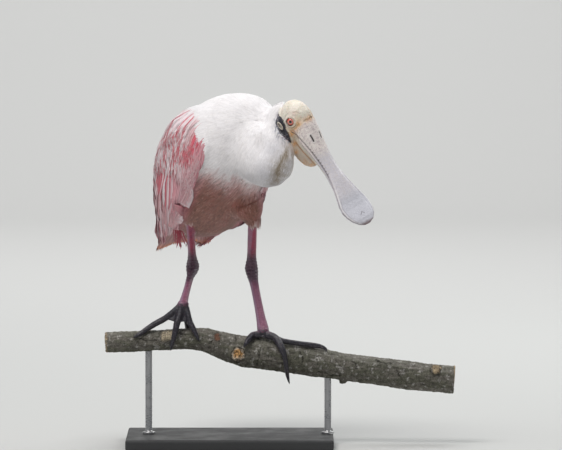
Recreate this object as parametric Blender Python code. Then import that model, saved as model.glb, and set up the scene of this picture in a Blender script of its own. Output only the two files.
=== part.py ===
"""A life-size roseate spoonbill that grips a cut length of branch, held by a plain stand.

Metres, +Z up. The origin is the centre of the stand base's underside. The bird faces -Y, turned a
little to +X. In the bird's own terms "right" is its right side, which lies towards -X.
"""

import math
import random

import bmesh
import bpy
import numpy as np
from mathutils import Matrix, Vector
from mathutils.bvhtree import BVHTree

GAP = 0.0003
CUT_GAP = 0.00036
DEGENERATE = 4e-6
FLAT_ANGLE = math.radians(0.6)

BODY_YAW = math.radians(16)
BODY_PITCH = math.radians(33)
BODY_CENTRE = Vector((-0.023, 0.000, 0.404))

# Torso sections: along the body, half width, height above and below the middle, rise, sideways shift.
TORSO_ROWS = (
    (0.133, 0.016, 0.014, 0.016, 0.014, -0.021),
    (0.126, 0.044, 0.040, 0.036, 0.011, -0.020),
    (0.110, 0.061, 0.055, 0.054, 0.006, -0.016),
    (0.085, 0.070, 0.066, 0.068, 0.002, -0.009),
    (0.050, 0.074, 0.073, 0.077, 0.000, -0.003),
    (0.010, 0.076, 0.076, 0.078, 0.000, 0.000),
    (-0.030, 0.074, 0.073, 0.076, 0.000, 0.000),
    (-0.070, 0.065, 0.061, 0.071, 0.000, 0.000),
    (-0.105, 0.049, 0.043, 0.061, 0.001, 0.000),
    (-0.135, 0.031, 0.024, 0.040, 0.003, 0.000),
    (-0.152, 0.013, 0.009, 0.016, 0.002, 0.000),
)
TORSO_SECTIONS = 17
TORSO_SIDES = 26
TORSO_SQUARENESS = 2.35

# The surface that the wing feathers lie on, in the same columns, from the shoulder to the wing tips.
WING_ROWS = (
    (0.124, 0.047, 0.044, 0.046, 0.010, -0.014),
    (0.106, 0.067, 0.060, 0.066, 0.004, -0.010),
    (0.060, 0.081, 0.078, 0.083, 0.000, -0.003),
    (0.000, 0.085, 0.083, 0.086, 0.000, 0.000),
    (-0.060, 0.080, 0.073, 0.082, 0.000, 0.000),
    (-0.130, 0.062, 0.044, 0.050, 0.002, 0.000),
    (-0.200, 0.045, 0.025, 0.026, 0.000, 0.000),
    (-0.255, 0.028, 0.010, 0.012, -0.004, 0.000),
)
# Edges of the folded wing's own body: along, then the angle round the body of its upper and lower edge.
WING_EDGES = (
    (0.119, 64.0, 110.0),
    (0.110, 56.0, 126.0),
    (0.092, 44.0, 132.0),
    (0.066, 34.0, 136.0),
    (0.030, 26.0, 138.0),
    (-0.010, 20.0, 138.0),
    (-0.050, 16.0, 133.0),
    (-0.085, 14.0, 126.0),
    (-0.118, 16.0, 118.0),
)
WING_CORE_SECTIONS = 11
WING_CORE_COLUMNS = 8
# Tiers of wing feathers, from the innermost out: how many, then for the uppermost and the lowest
# feather of the tier: root along, tip along, root angle, tip angle; then half width and lift.
WING_TIERS = (
    (5, (-0.072, -0.062), (-0.246, -0.166), (70.0, 112.0), (68.0, 126.0), 0.0108, -0.0036),
    (6, (-0.040, -0.010), (-0.190, -0.116), (22.0, 126.0), (20.0, 136.0), 0.0138, -0.0025),
    (6, (0.008, 0.028), (-0.110, -0.052), (26.0, 130.0), (22.0, 140.0), 0.0162, -0.0014),
    (5, (0.044, 0.060), (-0.044, 0.006), (33.0, 130.0), (28.0, 139.0), 0.0182, -0.0003),
    (4, (0.084, 0.092), (0.020, 0.052), (46.0, 124.0), (40.0, 134.0), 0.0196, 0.0008),
)
WING_VANE_THICK = 0.0011
WING_SHINGLE = 0.0011
VANE_PROFILE = ((0.0, 0.55), (0.45, 1.00), (0.84, 0.88), (1.0, 0.30))
ROOT_SINK = 0.0042
FEATHER_SEED = 11

# Tail feathers: where their roots and their tips lie along the body, the tips from the bird's left
# side over the middle to its right side, then the spread of roots and tips and the drop at the sides.
TAIL_COUNT = 8
TAIL_ROOT_ALONG = -0.122
TAIL_TIP_ALONG = (-0.209, -0.219, -0.226)
TAIL_ROOT_SPREAD = 0.0150
TAIL_TIP_SPREAD = 0.0330
TAIL_HALF_WIDTH = 0.0090
TAIL_DROP = 0.0060
TAIL_VANE_THICK = 0.0012
TAIL_SINK = 0.003
# The tail's short root: place along the body, half width and half height.
TAIL_STUMP = (
    (-0.116, 0.018, 0.0060),
    (-0.135, 0.021, 0.0050),
    (-0.155, 0.023, 0.0030),
    (-0.168, 0.022, 0.0012),
)
TAIL_STUMP_SIDES = 12
WING_CORE_SINK = 0.0052
WING_INNER_GAP = -0.0030

# Neck path from its root in the shoulders to the nape, with the radius there.
NECK_POINTS = (
    ((0.000, -0.042, 0.456), 0.048),
    ((0.015, -0.066, 0.445), 0.046),
    ((0.035, -0.092, 0.427), 0.0380),
    ((0.055, -0.115, 0.4090), 0.0310),
    ((0.0695, -0.122, 0.417), 0.0270),
    ((0.0695, -0.112, 0.438), 0.0230),
    ((0.0675, -0.099, 0.456), 0.0207),
    ((0.069, -0.092, 0.473), 0.0198),
    ((0.075, -0.091, 0.4868), 0.0182),
    ((0.085, -0.098, 0.4930), 0.0142),
)
NECK_SECTIONS = 30
NECK_SIDES = 32
# Feathers that fill the fold of the neck: place and half sizes.
NECK_FILLS = (
    ((0.044, -0.104, 0.436), (0.026, 0.024, 0.034)),
    ((0.030, -0.094, 0.440), (0.030, 0.026, 0.036)),
)
NECK_VOXEL = 0.0026
NECK_SMOOTHING = 8
NECK_TRIANGLES = 620

# Head frame: the origin is the middle of the bill's base at the mouth line.
HEAD_ORIGIN = Vector((0.1080, -0.128, 0.4635))
BILL_DROP = math.radians(57.2)
BILL_TOWARDS_FRONT = math.radians(8)
HEAD_ROLL = math.radians(50)

EYE_PLACE = (-0.0205, 0.0150, 0.0042)
EYE_TILT = (0.20, 0.94, 0.28)
EYE_RADIUS = 0.0070
LID_RADIUS = 0.0073
LID_THICK = 0.0014
LID_NARROWING = 0.94
EAR_PLACE = (-0.0243, 0.0205, -0.0165)
EAR_RADII = (0.0053, 0.0033)
EAR_PIT_SIZE = (0.0044, 0.0040, 0.0022)
EAR_THICK = (0.0011, 0.0009)
EAR_LIFT = 0.0005
EAR_SIDES = 14
EAR_TURNS = 6

# Masses that make up the bare head and the pouch, in the head frame: place and half sizes.
HEAD_MASSES = (
    ((-0.0225, 0.0000, 0.0008), (0.0258, 0.0205, 0.0226)),
    ((-0.0110, 0.0000, 0.0046), (0.0140, 0.0164, 0.0170)),
    ((-0.0150, 0.0000, -0.0110), (0.0230, 0.0185, 0.0190)),
    ((-0.0250, 0.0000, -0.0150), (0.0215, 0.0200, 0.0170)),
    ((-0.0140, 0.0000, -0.0200), (0.0215, 0.0185, 0.0150)),
    ((0.0185, 0.0000, -0.0225), (0.0315, 0.0120, 0.0235)),
    ((0.0040, 0.0000, -0.0130), (0.0260, 0.0140, 0.0140)),
)
BROW_PLACE = (-0.0185, 0.0140, 0.0125)
BROW_SIZE = (0.0110, 0.0038, 0.0030)
HEAD_VOXEL = 0.0013
HEAD_SMOOTHING = 5
HEAD_TRIANGLES = 1150

# Bill rows: along, half width, height of the upper half, depth of the lower half, lift of the mouth line.
BILL_ROWS = (
    (-0.016, 0.0178, 0.0220, 0.0120, 0.0000),
    (0.000, 0.0177, 0.0192, 0.0110, 0.0004),
    (0.014, 0.0165, 0.0146, 0.0105, 0.0016),
    (0.030, 0.0144, 0.0098, 0.0100, 0.0026),
    (0.052, 0.0120, 0.0068, 0.0080, 0.0024),
    (0.074, 0.0123, 0.0056, 0.0056, 0.0022),
    (0.085, 0.0151, 0.0053, 0.0048, 0.0027),
    (0.095, 0.0172, 0.0050, 0.0040, 0.0026),
    (0.112, 0.0223, 0.0042, 0.0034, 0.0028),
    (0.127, 0.0270, 0.0038, 0.0030, 0.0025),
    (0.140, 0.0264, 0.0034, 0.0027, 0.0044),
    (0.151, 0.0218, 0.0030, 0.0023, 0.0062),
    (0.1585, 0.0138, 0.0024, 0.0018, 0.0066),
    (0.1620, 0.0048, 0.0014, 0.0010, 0.0066),
)
BILL_SECTIONS = 20
BILL_SIDES = 6
BILL_SQUARENESS = 0.62
BILL_EDGE_THICK = 0.0004
MOUTH_GAP = 0.0006
NOSTRIL_PLACE = (0.0175, 0.0072, 0.0120)
NOSTRIL_SIZE = (0.0050, 0.0009, 0.0024)

# Legs: end of the thigh feathers, hock, and the joint where the toes meet, then the radii of the
# tibia, the hock, the tarsus and the ankle.
LEGS = {
    "right": {
        "knee": (-0.0600, -0.0270, 0.3640),
        "cuff": (-0.0577, -0.0010, 0.3215),
        "hock": (-0.0550, 0.0800, 0.2530),
        "ankle": (-0.0680, -0.0060, 0.2055),
        "radii": (0.0058, 0.0096, 0.0051, 0.0068),
    },
    "left": {
        "knee": (0.0220, -0.0340, 0.3620),
        "cuff": (0.0365, -0.0180, 0.3180),
        "hock": (0.0308, 0.0340, 0.2540),
        "ankle": (0.0484, -0.0060, 0.1670),
        "radii": (0.0067, 0.0096, 0.0062, 0.0088),
    },
}
# The thigh from the knee to the end of its feathers: share of the way and share of the radius.
THIGH_RADIUS = 0.0290
THIGH_ROWS = ((0.0, 1.00), (0.25, 0.94), (0.50, 0.76), (0.75, 0.50), (0.92, 0.34), (1.0, 0.28))
THIGH_SIDES = 18
# The tibia starts this share of the thigh above the feathers' end.
TIBIA_START = 0.25
# Share of the way down the tibia, and the share of the hock's radius mixed into the tibia's there.
TIBIA_ROWS = ((0.0, 0.0), (0.45, 0.0), (0.72, 0.06), (0.86, 0.45), (0.95, 1.0), (1.0, 1.0))
# Share of the way down the tarsus, then the shares of the hock's, tarsus's and ankle's radii.
TARSUS_ROWS = (
    (0.05, 0.98, 0.00, 0.00),
    (0.13, 0.55, 0.45, 0.00),
    (0.24, 0.12, 0.88, 0.00),
    (0.50, 0.00, 1.00, 0.00),
    (0.78, 0.00, 0.72, 0.28),
    (0.92, 0.00, 0.22, 0.78),
    (1.00, 0.00, 0.00, 1.00),
)
LEG_SECTIONS = 26
LEG_SIDES = 9

# Toes of each foot, from the ankle out: name and path, with the radius at each point. The last two
# points are the claw.
TOES = {
    "right": {
        "outer": (((-0.0710, -0.0080, 0.2030), 0.0056), ((-0.0850, -0.0100, 0.1920), 0.0045),
                  ((-0.0963, -0.0090, 0.1835), 0.0046), ((-0.1096, -0.0100, 0.1765), 0.0044),
                  ((-0.1237, -0.0135, 0.1673), 0.0038), ((-0.1325, -0.0175, 0.1615), 0.0031),
                  ((-0.1404, -0.0175, 0.1570), 0.0010)),
        "middle": (((-0.0705, -0.0100, 0.2000), 0.0058), ((-0.0735, -0.0150, 0.1880), 0.0049),
                   ((-0.0765, -0.0180, 0.1790), 0.0050), ((-0.0796, -0.0205, 0.1650), 0.0042),
                   ((-0.0829, -0.0205, 0.1520), 0.0036), ((-0.0850, -0.0180, 0.1430), 0.0022),
                   ((-0.0858, -0.0160, 0.1385), 0.0009)),
        "inner": (((-0.0640, -0.0090, 0.2000), 0.0054), ((-0.0608, -0.0130, 0.1905), 0.0044),
                  ((-0.0582, -0.0160, 0.1805), 0.0046), ((-0.0525, -0.0195, 0.1700), 0.0040),
                  ((-0.0484, -0.0210, 0.1610), 0.0031), ((-0.0442, -0.0185, 0.1520), 0.0010)),
        "hind": (((-0.0670, 0.0010, 0.2010), 0.0052), ((-0.0640, 0.0110, 0.1860), 0.0044),
                 ((-0.0610, 0.0205, 0.1680), 0.0044), ((-0.0600, 0.0215, 0.1540), 0.0036),
                 ((-0.0600, 0.0185, 0.1450), 0.0022), ((-0.0600, 0.0160, 0.1400), 0.0009)),
    },
    "left": {
        "outer": (((0.0530, -0.0110, 0.1618), 0.0060), ((0.0640, -0.0150, 0.1578), 0.0046),
                  ((0.0776, -0.0180, 0.1527), 0.0040), ((0.1019, -0.0145, 0.1488), 0.0038),
                  ((0.1186, -0.0120, 0.1462), 0.0041), ((0.1298, -0.0100, 0.1447), 0.0034),
                  ((0.1386, -0.0110, 0.1414), 0.0022), ((0.1408, -0.0125, 0.1367), 0.0009)),
        "middle": (((0.0540, -0.0120, 0.1610), 0.0062), ((0.0650, -0.0165, 0.1575), 0.0055),
                   ((0.0730, -0.0260, 0.1470), 0.0054), ((0.0776, -0.0305, 0.1365), 0.0044),
                   ((0.0800, -0.0305, 0.1285), 0.0036), ((0.0820, -0.0265, 0.1125), 0.0034),
                   ((0.0842, -0.0220, 0.0995), 0.0025), ((0.0862, -0.0200, 0.0905), 0.0009)),
        "inner": (((0.0415, -0.0090, 0.1606), 0.0056), ((0.0332, -0.0120, 0.1610), 0.0048),
                  ((0.0270, -0.0200, 0.1550), 0.0044), ((0.0230, -0.0250, 0.1495), 0.0031),
                  ((0.0200, -0.0255, 0.1440), 0.0010)),
        "hind": (((0.0440, 0.0000, 0.1620), 0.0052), ((0.0400, 0.0155, 0.1600), 0.0046),
                 ((0.0378, 0.0275, 0.1465), 0.0044), ((0.0370, 0.0305, 0.1310), 0.0036),
                 ((0.0375, 0.0285, 0.1215), 0.0022), ((0.0380, 0.0260, 0.1165), 0.0009)),
    },
}
TOE_SIDES = 16
ANKLE_SHIFT = (0.0, -0.002, -0.001)
ANKLE_SIZE = (0.0085, 0.0085, 0.0080)
WEB_THICKNESS = 0.0024
# How far each foot's webs reach from the toes' second points towards their third.
WEB_REACH = {"right": 0.95, "left": 0.35}
FOOT_VOXEL = 0.00075
FOOT_SMOOTHING = 3
FOOT_TRIANGLES = 800

# Branch: place of its middle line and its radius, from the broken end to the sawn end.
PERCH_POINTS = (
    ((-0.1808, 0.000, 0.1489), 0.0149),
    ((-0.1363, -0.001, 0.1513), 0.0157),
    ((-0.0921, -0.001, 0.1530), 0.0154),
    ((-0.0479, 0.000, 0.1547), 0.0164),
    ((-0.0290, 0.001, 0.1506), 0.0184),
    ((-0.0029, 0.002, 0.1420), 0.0208),
    ((0.0189, 0.002, 0.1360), 0.0236),
    ((0.0406, 0.002, 0.1342), 0.0238),
    ((0.0634, 0.001, 0.1318), 0.0242),
    ((0.1073, 0.000, 0.1240), 0.0231),
    ((0.1450, 0.000, 0.1177), 0.0206),
    ((0.1755, 0.001, 0.1120), 0.0203),
    ((0.2204, 0.002, 0.1067), 0.0210),
    ((0.2552, 0.002, 0.1015), 0.0214),
    ((0.2871, 0.002, 0.0979), 0.0209),
    ((0.3260, 0.001, 0.0950), 0.0209),
)
PERCH_SECTIONS = 26
PERCH_SIDES = 14
# Stubs of cut twigs: place along the branch, direction round it in degrees from straight up
# towards the front, radius and how far the stub stands out.
PERCH_STUBS = (
    (-0.0860, 62.0, 0.0085, 0.0035),
    (0.0075, 97.0, 0.0105, 0.0050),
    (0.2970, 50.0, 0.0080, 0.0045),
    (0.1640, 185.0, 0.0050, 0.0045),
)
# A stub from the branch's middle out: shares of the branch's radius, of its height and of its radius.
STUB_ROWS = ((0.0, 0.0, 1.20), (1.0, 0.6, 1.05), (1.0, 1.0, 0.85))
STUB_SIDES = 12

BASE_SIZE = (0.300, 0.200, 0.016)
BASE_BEVEL = 0.003
ROD_RADIUS = 0.005
ROD_PLACES = {"stand_rod_left": -0.118, "stand_rod_right": 0.142}
ROD_SIDES = 20

COLOURS = {
    "white_feather": ((0.86, 0.82, 0.82), 0.80, 0.0),
    "pink_feather": ((0.80, 0.42, 0.45), 0.75, 0.0),
    "tail_feather": ((0.80, 0.40, 0.24), 0.75, 0.0),
    "head_skin": ((0.70, 0.64, 0.48), 0.55, 0.0),
    "bill": ((0.62, 0.60, 0.62), 0.50, 0.0),
    "iris": ((0.65, 0.07, 0.04), 0.10, 0.0),
    "ear_skin": ((0.72, 0.66, 0.58), 0.55, 0.0),
    "leg_skin": ((0.33, 0.11, 0.15), 0.50, 0.0),
    "foot_skin": ((0.05, 0.04, 0.06), 0.45, 0.0),
    "bark": ((0.16, 0.14, 0.11), 0.90, 0.0),
    "base_paint": ((0.10, 0.10, 0.11), 0.40, 0.0),
    "rod_steel": ((0.45, 0.45, 0.46), 0.30, 1.0),
}


def clear_scene():
    for obj in list(bpy.data.objects):
        bpy.data.objects.remove(obj)


def material(name):
    found = bpy.data.materials.get(name)
    if found:
        return found
    colour, roughness, metallic = COLOURS[name]
    made = bpy.data.materials.new(name)
    made.use_nodes = True
    shader = made.node_tree.nodes["Principled BSDF"]
    shader.inputs["Base Color"].default_value = (*colour, 1.0)
    shader.inputs["Roughness"].default_value = roughness
    shader.inputs["Metallic"].default_value = metallic
    return made


def new_object(name, points, faces, material_name=None):
    mesh = bpy.data.meshes.new(name)
    mesh.from_pydata([tuple(point) for point in points], [], faces)
    mesh.update()
    if material_name:
        mesh.materials.append(material(material_name))
    obj = bpy.data.objects.new(name, mesh)
    bpy.context.scene.collection.objects.link(obj)
    return obj


def smooth_rows(rows, count):
    """The rows, resampled evenly by arc along a Catmull-Rom curve through them."""
    data = np.array(rows, float)
    padded = np.vstack((2 * data[0] - data[1], data, 2 * data[-1] - data[-2]))
    fine = []
    steps = 12
    for i in range(len(data) - 1):
        a, b, c, d = padded[i : i + 4]
        for t in np.linspace(0, 1, steps, endpoint=False):
            fine.append(
                0.5 * (2 * b + (c - a) * t + (2 * a - 5 * b + 4 * c - d) * t**2
                       + (3 * b - a - 3 * c + d) * t**3)
            )
    fine.append(data[-1])
    fine = np.array(fine)
    travel = np.concatenate(([0], np.cumsum(np.linalg.norm(np.diff(fine, axis=0), axis=1))))
    wanted = np.linspace(0, travel[-1], count)
    return np.stack([np.interp(wanted, travel, column) for column in fine.T], axis=1)


def row_at(rows, along):
    """The columns after the first, read at a place along. The rows run from front to back."""
    data = np.array(rows, float)
    return [float(np.interp(-along, -data[:, 0], data[:, k])) for k in range(1, data.shape[1])]


def loft(name, rings, material_name=None):
    """A closed solid through rings of equally many points, with a fan over each end."""
    sides = len(rings[0])
    points = [point for ring in rings for point in ring]
    faces = []
    for i in range(len(rings) - 1):
        for j in range(sides):
            k = (j + 1) % sides
            a, b = i * sides, (i + 1) * sides
            faces.append((a + j, a + k, b + k, b + j))
    for ring_index, order in ((0, -1), (len(rings) - 1, 1)):
        middle = len(points)
        points.append(np.mean([np.array(point) for point in rings[ring_index]], axis=0))
        base = ring_index * sides
        for j in range(sides):
            pair = (base + j, base + (j + 1) % sides)
            faces.append((pair[0], pair[1], middle) if order > 0 else (pair[1], pair[0], middle))
    obj = new_object(name, points, faces, material_name)
    face_outwards(obj)
    return obj


def face_outwards(obj):
    shape = bmesh.new()
    shape.from_mesh(obj.data)
    bmesh.ops.recalc_face_normals(shape, faces=shape.faces)
    if shape.calc_volume(signed=True) < 0:
        bmesh.ops.reverse_faces(shape, faces=shape.faces)
    shape.to_mesh(obj.data)
    shape.free()


def tube(name, places, radii, sides, material_name=None):
    """A round solid along places."""
    places = [Vector(place) for place in places]
    rings = []
    across = None
    for i, (place, radius) in enumerate(zip(places, radii)):
        tangent = (places[min(i + 1, len(places) - 1)] - places[max(i - 1, 0)]).normalized()
        if across is None:
            across = tangent.orthogonal().normalized()
        across = (across - tangent * across.dot(tangent)).normalized()
        other = tangent.cross(across)
        ring = []
        for j in range(sides):
            angle = 2 * math.pi * j / sides
            ring.append(place + (math.cos(angle) * across + math.sin(angle) * other) * float(radius))
        rings.append(ring)
    return loft(name, rings, material_name)


def ellipsoid(name, centre, sizes, axes=None, rows=10, sides=16, material_name=None):
    """A closed ellipsoid: axes is a 3x3 matrix whose columns are its own directions."""
    shape = bmesh.new()
    bmesh.ops.create_uvsphere(shape, u_segments=sides, v_segments=rows, radius=1.0)
    frame = (axes or Matrix.Identity(3)) @ Matrix.Diagonal(Vector(sizes))
    bmesh.ops.transform(shape, matrix=Matrix.Translation(Vector(centre)) @ frame.to_4x4(),
                        verts=shape.verts)
    mesh = bpy.data.meshes.new(name)
    shape.to_mesh(mesh)
    shape.free()
    if material_name:
        mesh.materials.append(material(material_name))
    obj = bpy.data.objects.new(name, mesh)
    bpy.context.scene.collection.objects.link(obj)
    face_outwards(obj)
    return obj


def ring_solid(name, centre, axes, radii, thickness, material_name=None, sides=20, turns=8):
    """A closed oval ring, flat in the first and third of its axes."""
    points = []
    faces = []
    for i in range(sides):
        a = 2 * math.pi * i / sides
        for j in range(turns):
            b = 2 * math.pi * j / turns
            reach = thickness * math.cos(b)
            local = Vector(((radii[0] + reach) * math.cos(a), thickness * math.sin(b),
                            (radii[1] + reach) * math.sin(a)))
            points.append(Vector(centre) + axes @ local)
            k, m = (i + 1) % sides, (j + 1) % turns
            faces.append((i * turns + j, i * turns + m, k * turns + m, k * turns + j))
    obj = new_object(name, points, faces, material_name)
    face_outwards(obj)
    return obj


def apply_modifiers(obj):
    """Bakes the object's modifiers into its mesh."""
    graph = bpy.context.evaluated_depsgraph_get()
    graph.update()
    mesh = bpy.data.meshes.new_from_object(obj.evaluated_get(graph))
    obj.modifiers.clear()
    obj.data = mesh


def boolean(obj, other, operation, solver="EXACT"):
    """Joins or cuts obj with one object, or with a list of objects, which are removed afterwards."""
    others = other if isinstance(other, list) else [other]
    group = bpy.data.collections.new("boolean_operands")
    bpy.context.scene.collection.children.link(group)
    for piece in others:
        group.objects.link(piece)
    modifier = obj.modifiers.new("Boolean", "BOOLEAN")
    modifier.operation = operation
    modifier.solver = solver
    modifier.operand_type = "COLLECTION"
    modifier.collection = group
    apply_modifiers(obj)
    shape = bmesh.new()
    shape.from_mesh(obj.data)
    bmesh.ops.dissolve_degenerate(shape, dist=DEGENERATE, edges=shape.edges)
    bmesh.ops.triangulate(shape, faces=shape.faces)
    shape.to_mesh(obj.data)
    shape.free()
    for piece in others:
        bpy.data.objects.remove(piece)
    bpy.data.collections.remove(group)


def merge_flats(obj):
    """Joins neighbouring triangles of one flat face, so that fewer are left after a union."""
    shape = bmesh.new()
    shape.from_mesh(obj.data)
    bmesh.ops.dissolve_limit(shape, angle_limit=FLAT_ANGLE, verts=shape.verts, edges=shape.edges)
    bmesh.ops.triangulate(shape, faces=shape.faces)
    shape.to_mesh(obj.data)
    shape.free()


def inflated(obj, gap=CUT_GAP):
    """A copy of obj, grown by gap along its normals."""
    mesh = obj.data.copy()
    shape = bmesh.new()
    shape.from_mesh(mesh)
    shape.normal_update()
    for vertex in shape.verts:
        vertex.co += vertex.normal * (gap * vertex.calc_shell_factor())
    shape.to_mesh(mesh)
    shape.free()
    copy = bpy.data.objects.new(obj.name + "_grown", mesh)
    bpy.context.scene.collection.objects.link(copy)
    return copy


def keep_largest(obj):
    """Keeps only the largest closed surface of a mesh, and parts those that touch along an edge."""
    shape = bmesh.new()
    shape.from_mesh(obj.data)
    left = set(shape.faces)
    islands = []
    while left:
        stack = [left.pop()]
        island = list(stack)
        while stack:
            face = stack.pop()
            for edge in face.edges:
                if len(edge.link_faces) != 2:
                    continue
                for near in edge.link_faces:
                    if near in left:
                        left.discard(near)
                        stack.append(near)
                        island.append(near)
        islands.append(island)
    islands.sort(key=lambda faces: sum(face.calc_area() for face in faces))
    for island in islands[:-1]:
        bmesh.ops.delete(shape, geom=island, context="FACES")
    # A sliver that was dissolved can leave a slit, which is closed here.
    slits = [edge for edge in shape.edges if edge.is_boundary]
    if slits:
        made = bmesh.ops.holes_fill(shape, edges=slits, sides=0)
        bmesh.ops.triangulate(shape, faces=made["faces"])
    shape.to_mesh(obj.data)
    shape.free()


def set_clear_of(obj, *neighbours, solver="EXACT"):
    """Cuts obj back from its neighbours, leaving the gap that touching solids keep."""
    for neighbour in neighbours:
        boolean(obj, inflated(neighbour), "DIFFERENCE", solver)
    keep_largest(obj)


def melted(name, pieces, voxel, smoothing, triangles, material_name):
    """One smooth closed skin round overlapping pieces, which are removed."""
    points, faces = [], []
    for piece in pieces:
        start = len(points)
        points += [vertex.co.copy() for vertex in piece.data.vertices]
        faces += [tuple(start + k for k in face.vertices) for face in piece.data.polygons]
        bpy.data.objects.remove(piece)
    obj = new_object(name, points, faces, material_name)
    remesh = obj.modifiers.new("Remesh", "REMESH")
    remesh.mode = "VOXEL"
    remesh.voxel_size = voxel
    relax = obj.modifiers.new("Smooth", "SMOOTH")
    relax.factor = 0.5
    relax.iterations = smoothing
    apply_modifiers(obj)
    count = sum(len(face.vertices) - 2 for face in obj.data.polygons)
    fewer = obj.modifiers.new("Decimate", "DECIMATE")
    fewer.ratio = min(1.0, triangles / count)
    apply_modifiers(obj)
    obj.data.materials.clear()
    obj.data.materials.append(material(material_name))
    return obj


def shade(obj, angle=50):
    obj.data.shade_smooth()
    obj.data.set_sharp_from_angle(angle=math.radians(angle))


def body_axes():
    """The bird's forward, right and upward directions."""
    level = Vector((math.sin(BODY_YAW), -math.cos(BODY_YAW), 0))
    forward = level * math.cos(BODY_PITCH) + Vector((0, 0, 1)) * math.sin(BODY_PITCH)
    right = level.cross(Vector((0, 0, 1))).normalized()
    return forward, right, right.cross(forward).normalized()


FORWARD, RIGHT, UP = body_axes()


def body_point(along, side, up):
    return BODY_CENTRE + FORWARD * float(along) + RIGHT * float(side) + UP * float(up)


def section_point(rows, along, angle, side=1, lift=0.0):
    """A point of a body section. angle runs from the back, 0, past the flank, 90, to the belly, 180."""
    half_width, above, below, rise, shift = row_at(rows, along)
    power = 2 / TORSO_SQUARENESS
    sine, cosine = math.sin(math.radians(angle)), math.cos(math.radians(angle))
    across = math.copysign(abs(sine) ** power, sine) * (half_width + lift)
    height = above if cosine > 0 else below
    upward = math.copysign(abs(cosine) ** power, cosine) * (height + lift)
    return body_point(along, shift + side * across, rise + upward)


def make_torso():
    rings = []
    for along in smooth_rows(TORSO_ROWS, TORSO_SECTIONS)[:, 0]:
        rings.append([section_point(TORSO_ROWS, along, 360 * j / TORSO_SIDES)
                      for j in range(TORSO_SIDES)])
    return loft("torso", rings, "white_feather")


def make_neck(*neighbours):
    """The folded neck: an S whose limbs lie so close that their feathers meet."""
    rows = [(*place, radius) for place, radius in NECK_POINTS]
    path = smooth_rows(rows, NECK_SECTIONS)
    pieces = [tube("limb", path[:, :3], path[:, 3], NECK_SIDES)]
    for place, sizes in NECK_FILLS:
        pieces.append(ellipsoid("fill", place, sizes, None, 16, 24))
    neck = melted("neck", pieces, NECK_VOXEL, NECK_SMOOTHING, NECK_TRIANGLES, "white_feather")
    set_clear_of(neck, *neighbours)
    return neck


def head_axes():
    """Columns: along the bill, the bird's right side, and upward from the bill."""
    flat = Vector((math.cos(BILL_DROP), 0, -math.sin(BILL_DROP)))
    front = Vector((0, -1, 0))
    along = flat * math.cos(BILL_TOWARDS_FRONT) + front * math.sin(BILL_TOWARDS_FRONT)
    level_up = Vector((math.sin(BILL_DROP), 0, math.cos(BILL_DROP)))
    nearer = along.cross(level_up).normalized()
    if nearer.y > 0:
        nearer = -nearer
    up = level_up * math.cos(HEAD_ROLL) + nearer * math.sin(HEAD_ROLL)
    right = along.cross(up).normalized()
    return Matrix((along, right, up)).transposed()


HEAD = head_axes()


def head_point(along, side, up):
    return HEAD_ORIGIN + HEAD @ Vector((along, side, up))


def eye_centre(side):
    along, out, up = EYE_PLACE
    return head_point(along, side * out, up)


def eye_axes(side):
    """Columns: towards the bill, out of the eye, and up, for the eye on one side."""
    forward, outward, upward = EYE_TILT
    out = (HEAD @ Vector((forward, side * outward, upward))).normalized()
    along = (HEAD.col[0] - out * HEAD.col[0].dot(out)).normalized()
    return Matrix((along, out, along.cross(out))).transposed()


def make_head():
    pieces = [ellipsoid("mass", head_point(*place), sizes, HEAD, 24, 32)
              for place, sizes in HEAD_MASSES]
    lid_out = math.sqrt(EYE_RADIUS**2 - (LID_RADIUS - LID_THICK) ** 2)
    for side in (1, -1):
        axes = eye_axes(side)
        centre = eye_centre(side)
        pieces.append(ellipsoid("brow", head_point(BROW_PLACE[0], side * BROW_PLACE[1], BROW_PLACE[2]),
                                BROW_SIZE, HEAD, 16, 20))
        pieces.append(ring_solid("lid", centre + axes.col[1] * lid_out, axes,
                                 (LID_RADIUS, LID_RADIUS * LID_NARROWING), LID_THICK, None, 28, 10))
    head = melted("head", pieces, HEAD_VOXEL, HEAD_SMOOTHING, HEAD_TRIANGLES, "head_skin")
    cutters = []
    for side in (1, -1):
        cutters.append(ellipsoid("socket", eye_centre(side), (EYE_RADIUS + GAP,) * 3, HEAD, 10, 16))
        cutters.append(ellipsoid("ear_pit", head_point(EAR_PLACE[0], side * EAR_PLACE[1], EAR_PLACE[2]),
                                 EAR_PIT_SIZE, HEAD, 8, 12))
    boolean(head, cutters, "DIFFERENCE")
    keep_largest(head)
    return head


def make_eye(name, side):
    return ellipsoid(name, eye_centre(side), (EYE_RADIUS,) * 3, HEAD, 9, 14, "iris")


def make_ear(name, side, head):
    """The pale ring round the ear opening, laid on the head."""
    surface = bmesh.new()
    surface.from_mesh(head.data)
    tree = BVHTree.FromBMesh(surface)
    surface.free()
    along, out, up = EAR_PLACE
    outward = HEAD.col[1] * side
    points, faces = [], []
    for i in range(EAR_SIDES):
        a = 2 * math.pi * i / EAR_SIDES
        start = head_point(along + EAR_RADII[0] * math.cos(a), side * out * 2,
                           up + EAR_RADII[1] * math.sin(a))
        hit, normal, _, _ = tree.ray_cast(start, -outward)
        radial = (HEAD.col[0] * math.cos(a) + HEAD.col[2] * math.sin(a)).normalized()
        radial = (radial - normal * radial.dot(normal)).normalized()
        centre = hit + normal * (EAR_THICK[1] + EAR_LIFT)
        for j in range(EAR_TURNS):
            b = 2 * math.pi * j / EAR_TURNS
            points.append(centre + radial * EAR_THICK[0] * math.cos(b)
                          + normal * EAR_THICK[1] * math.sin(b))
            k, m = (i + 1) % EAR_SIDES, (j + 1) % EAR_TURNS
            faces.append((i * EAR_TURNS + j, i * EAR_TURNS + m, k * EAR_TURNS + m, k * EAR_TURNS + j))
    ring = new_object(name, points, faces, "ear_skin")
    face_outwards(ring)
    return ring


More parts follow.
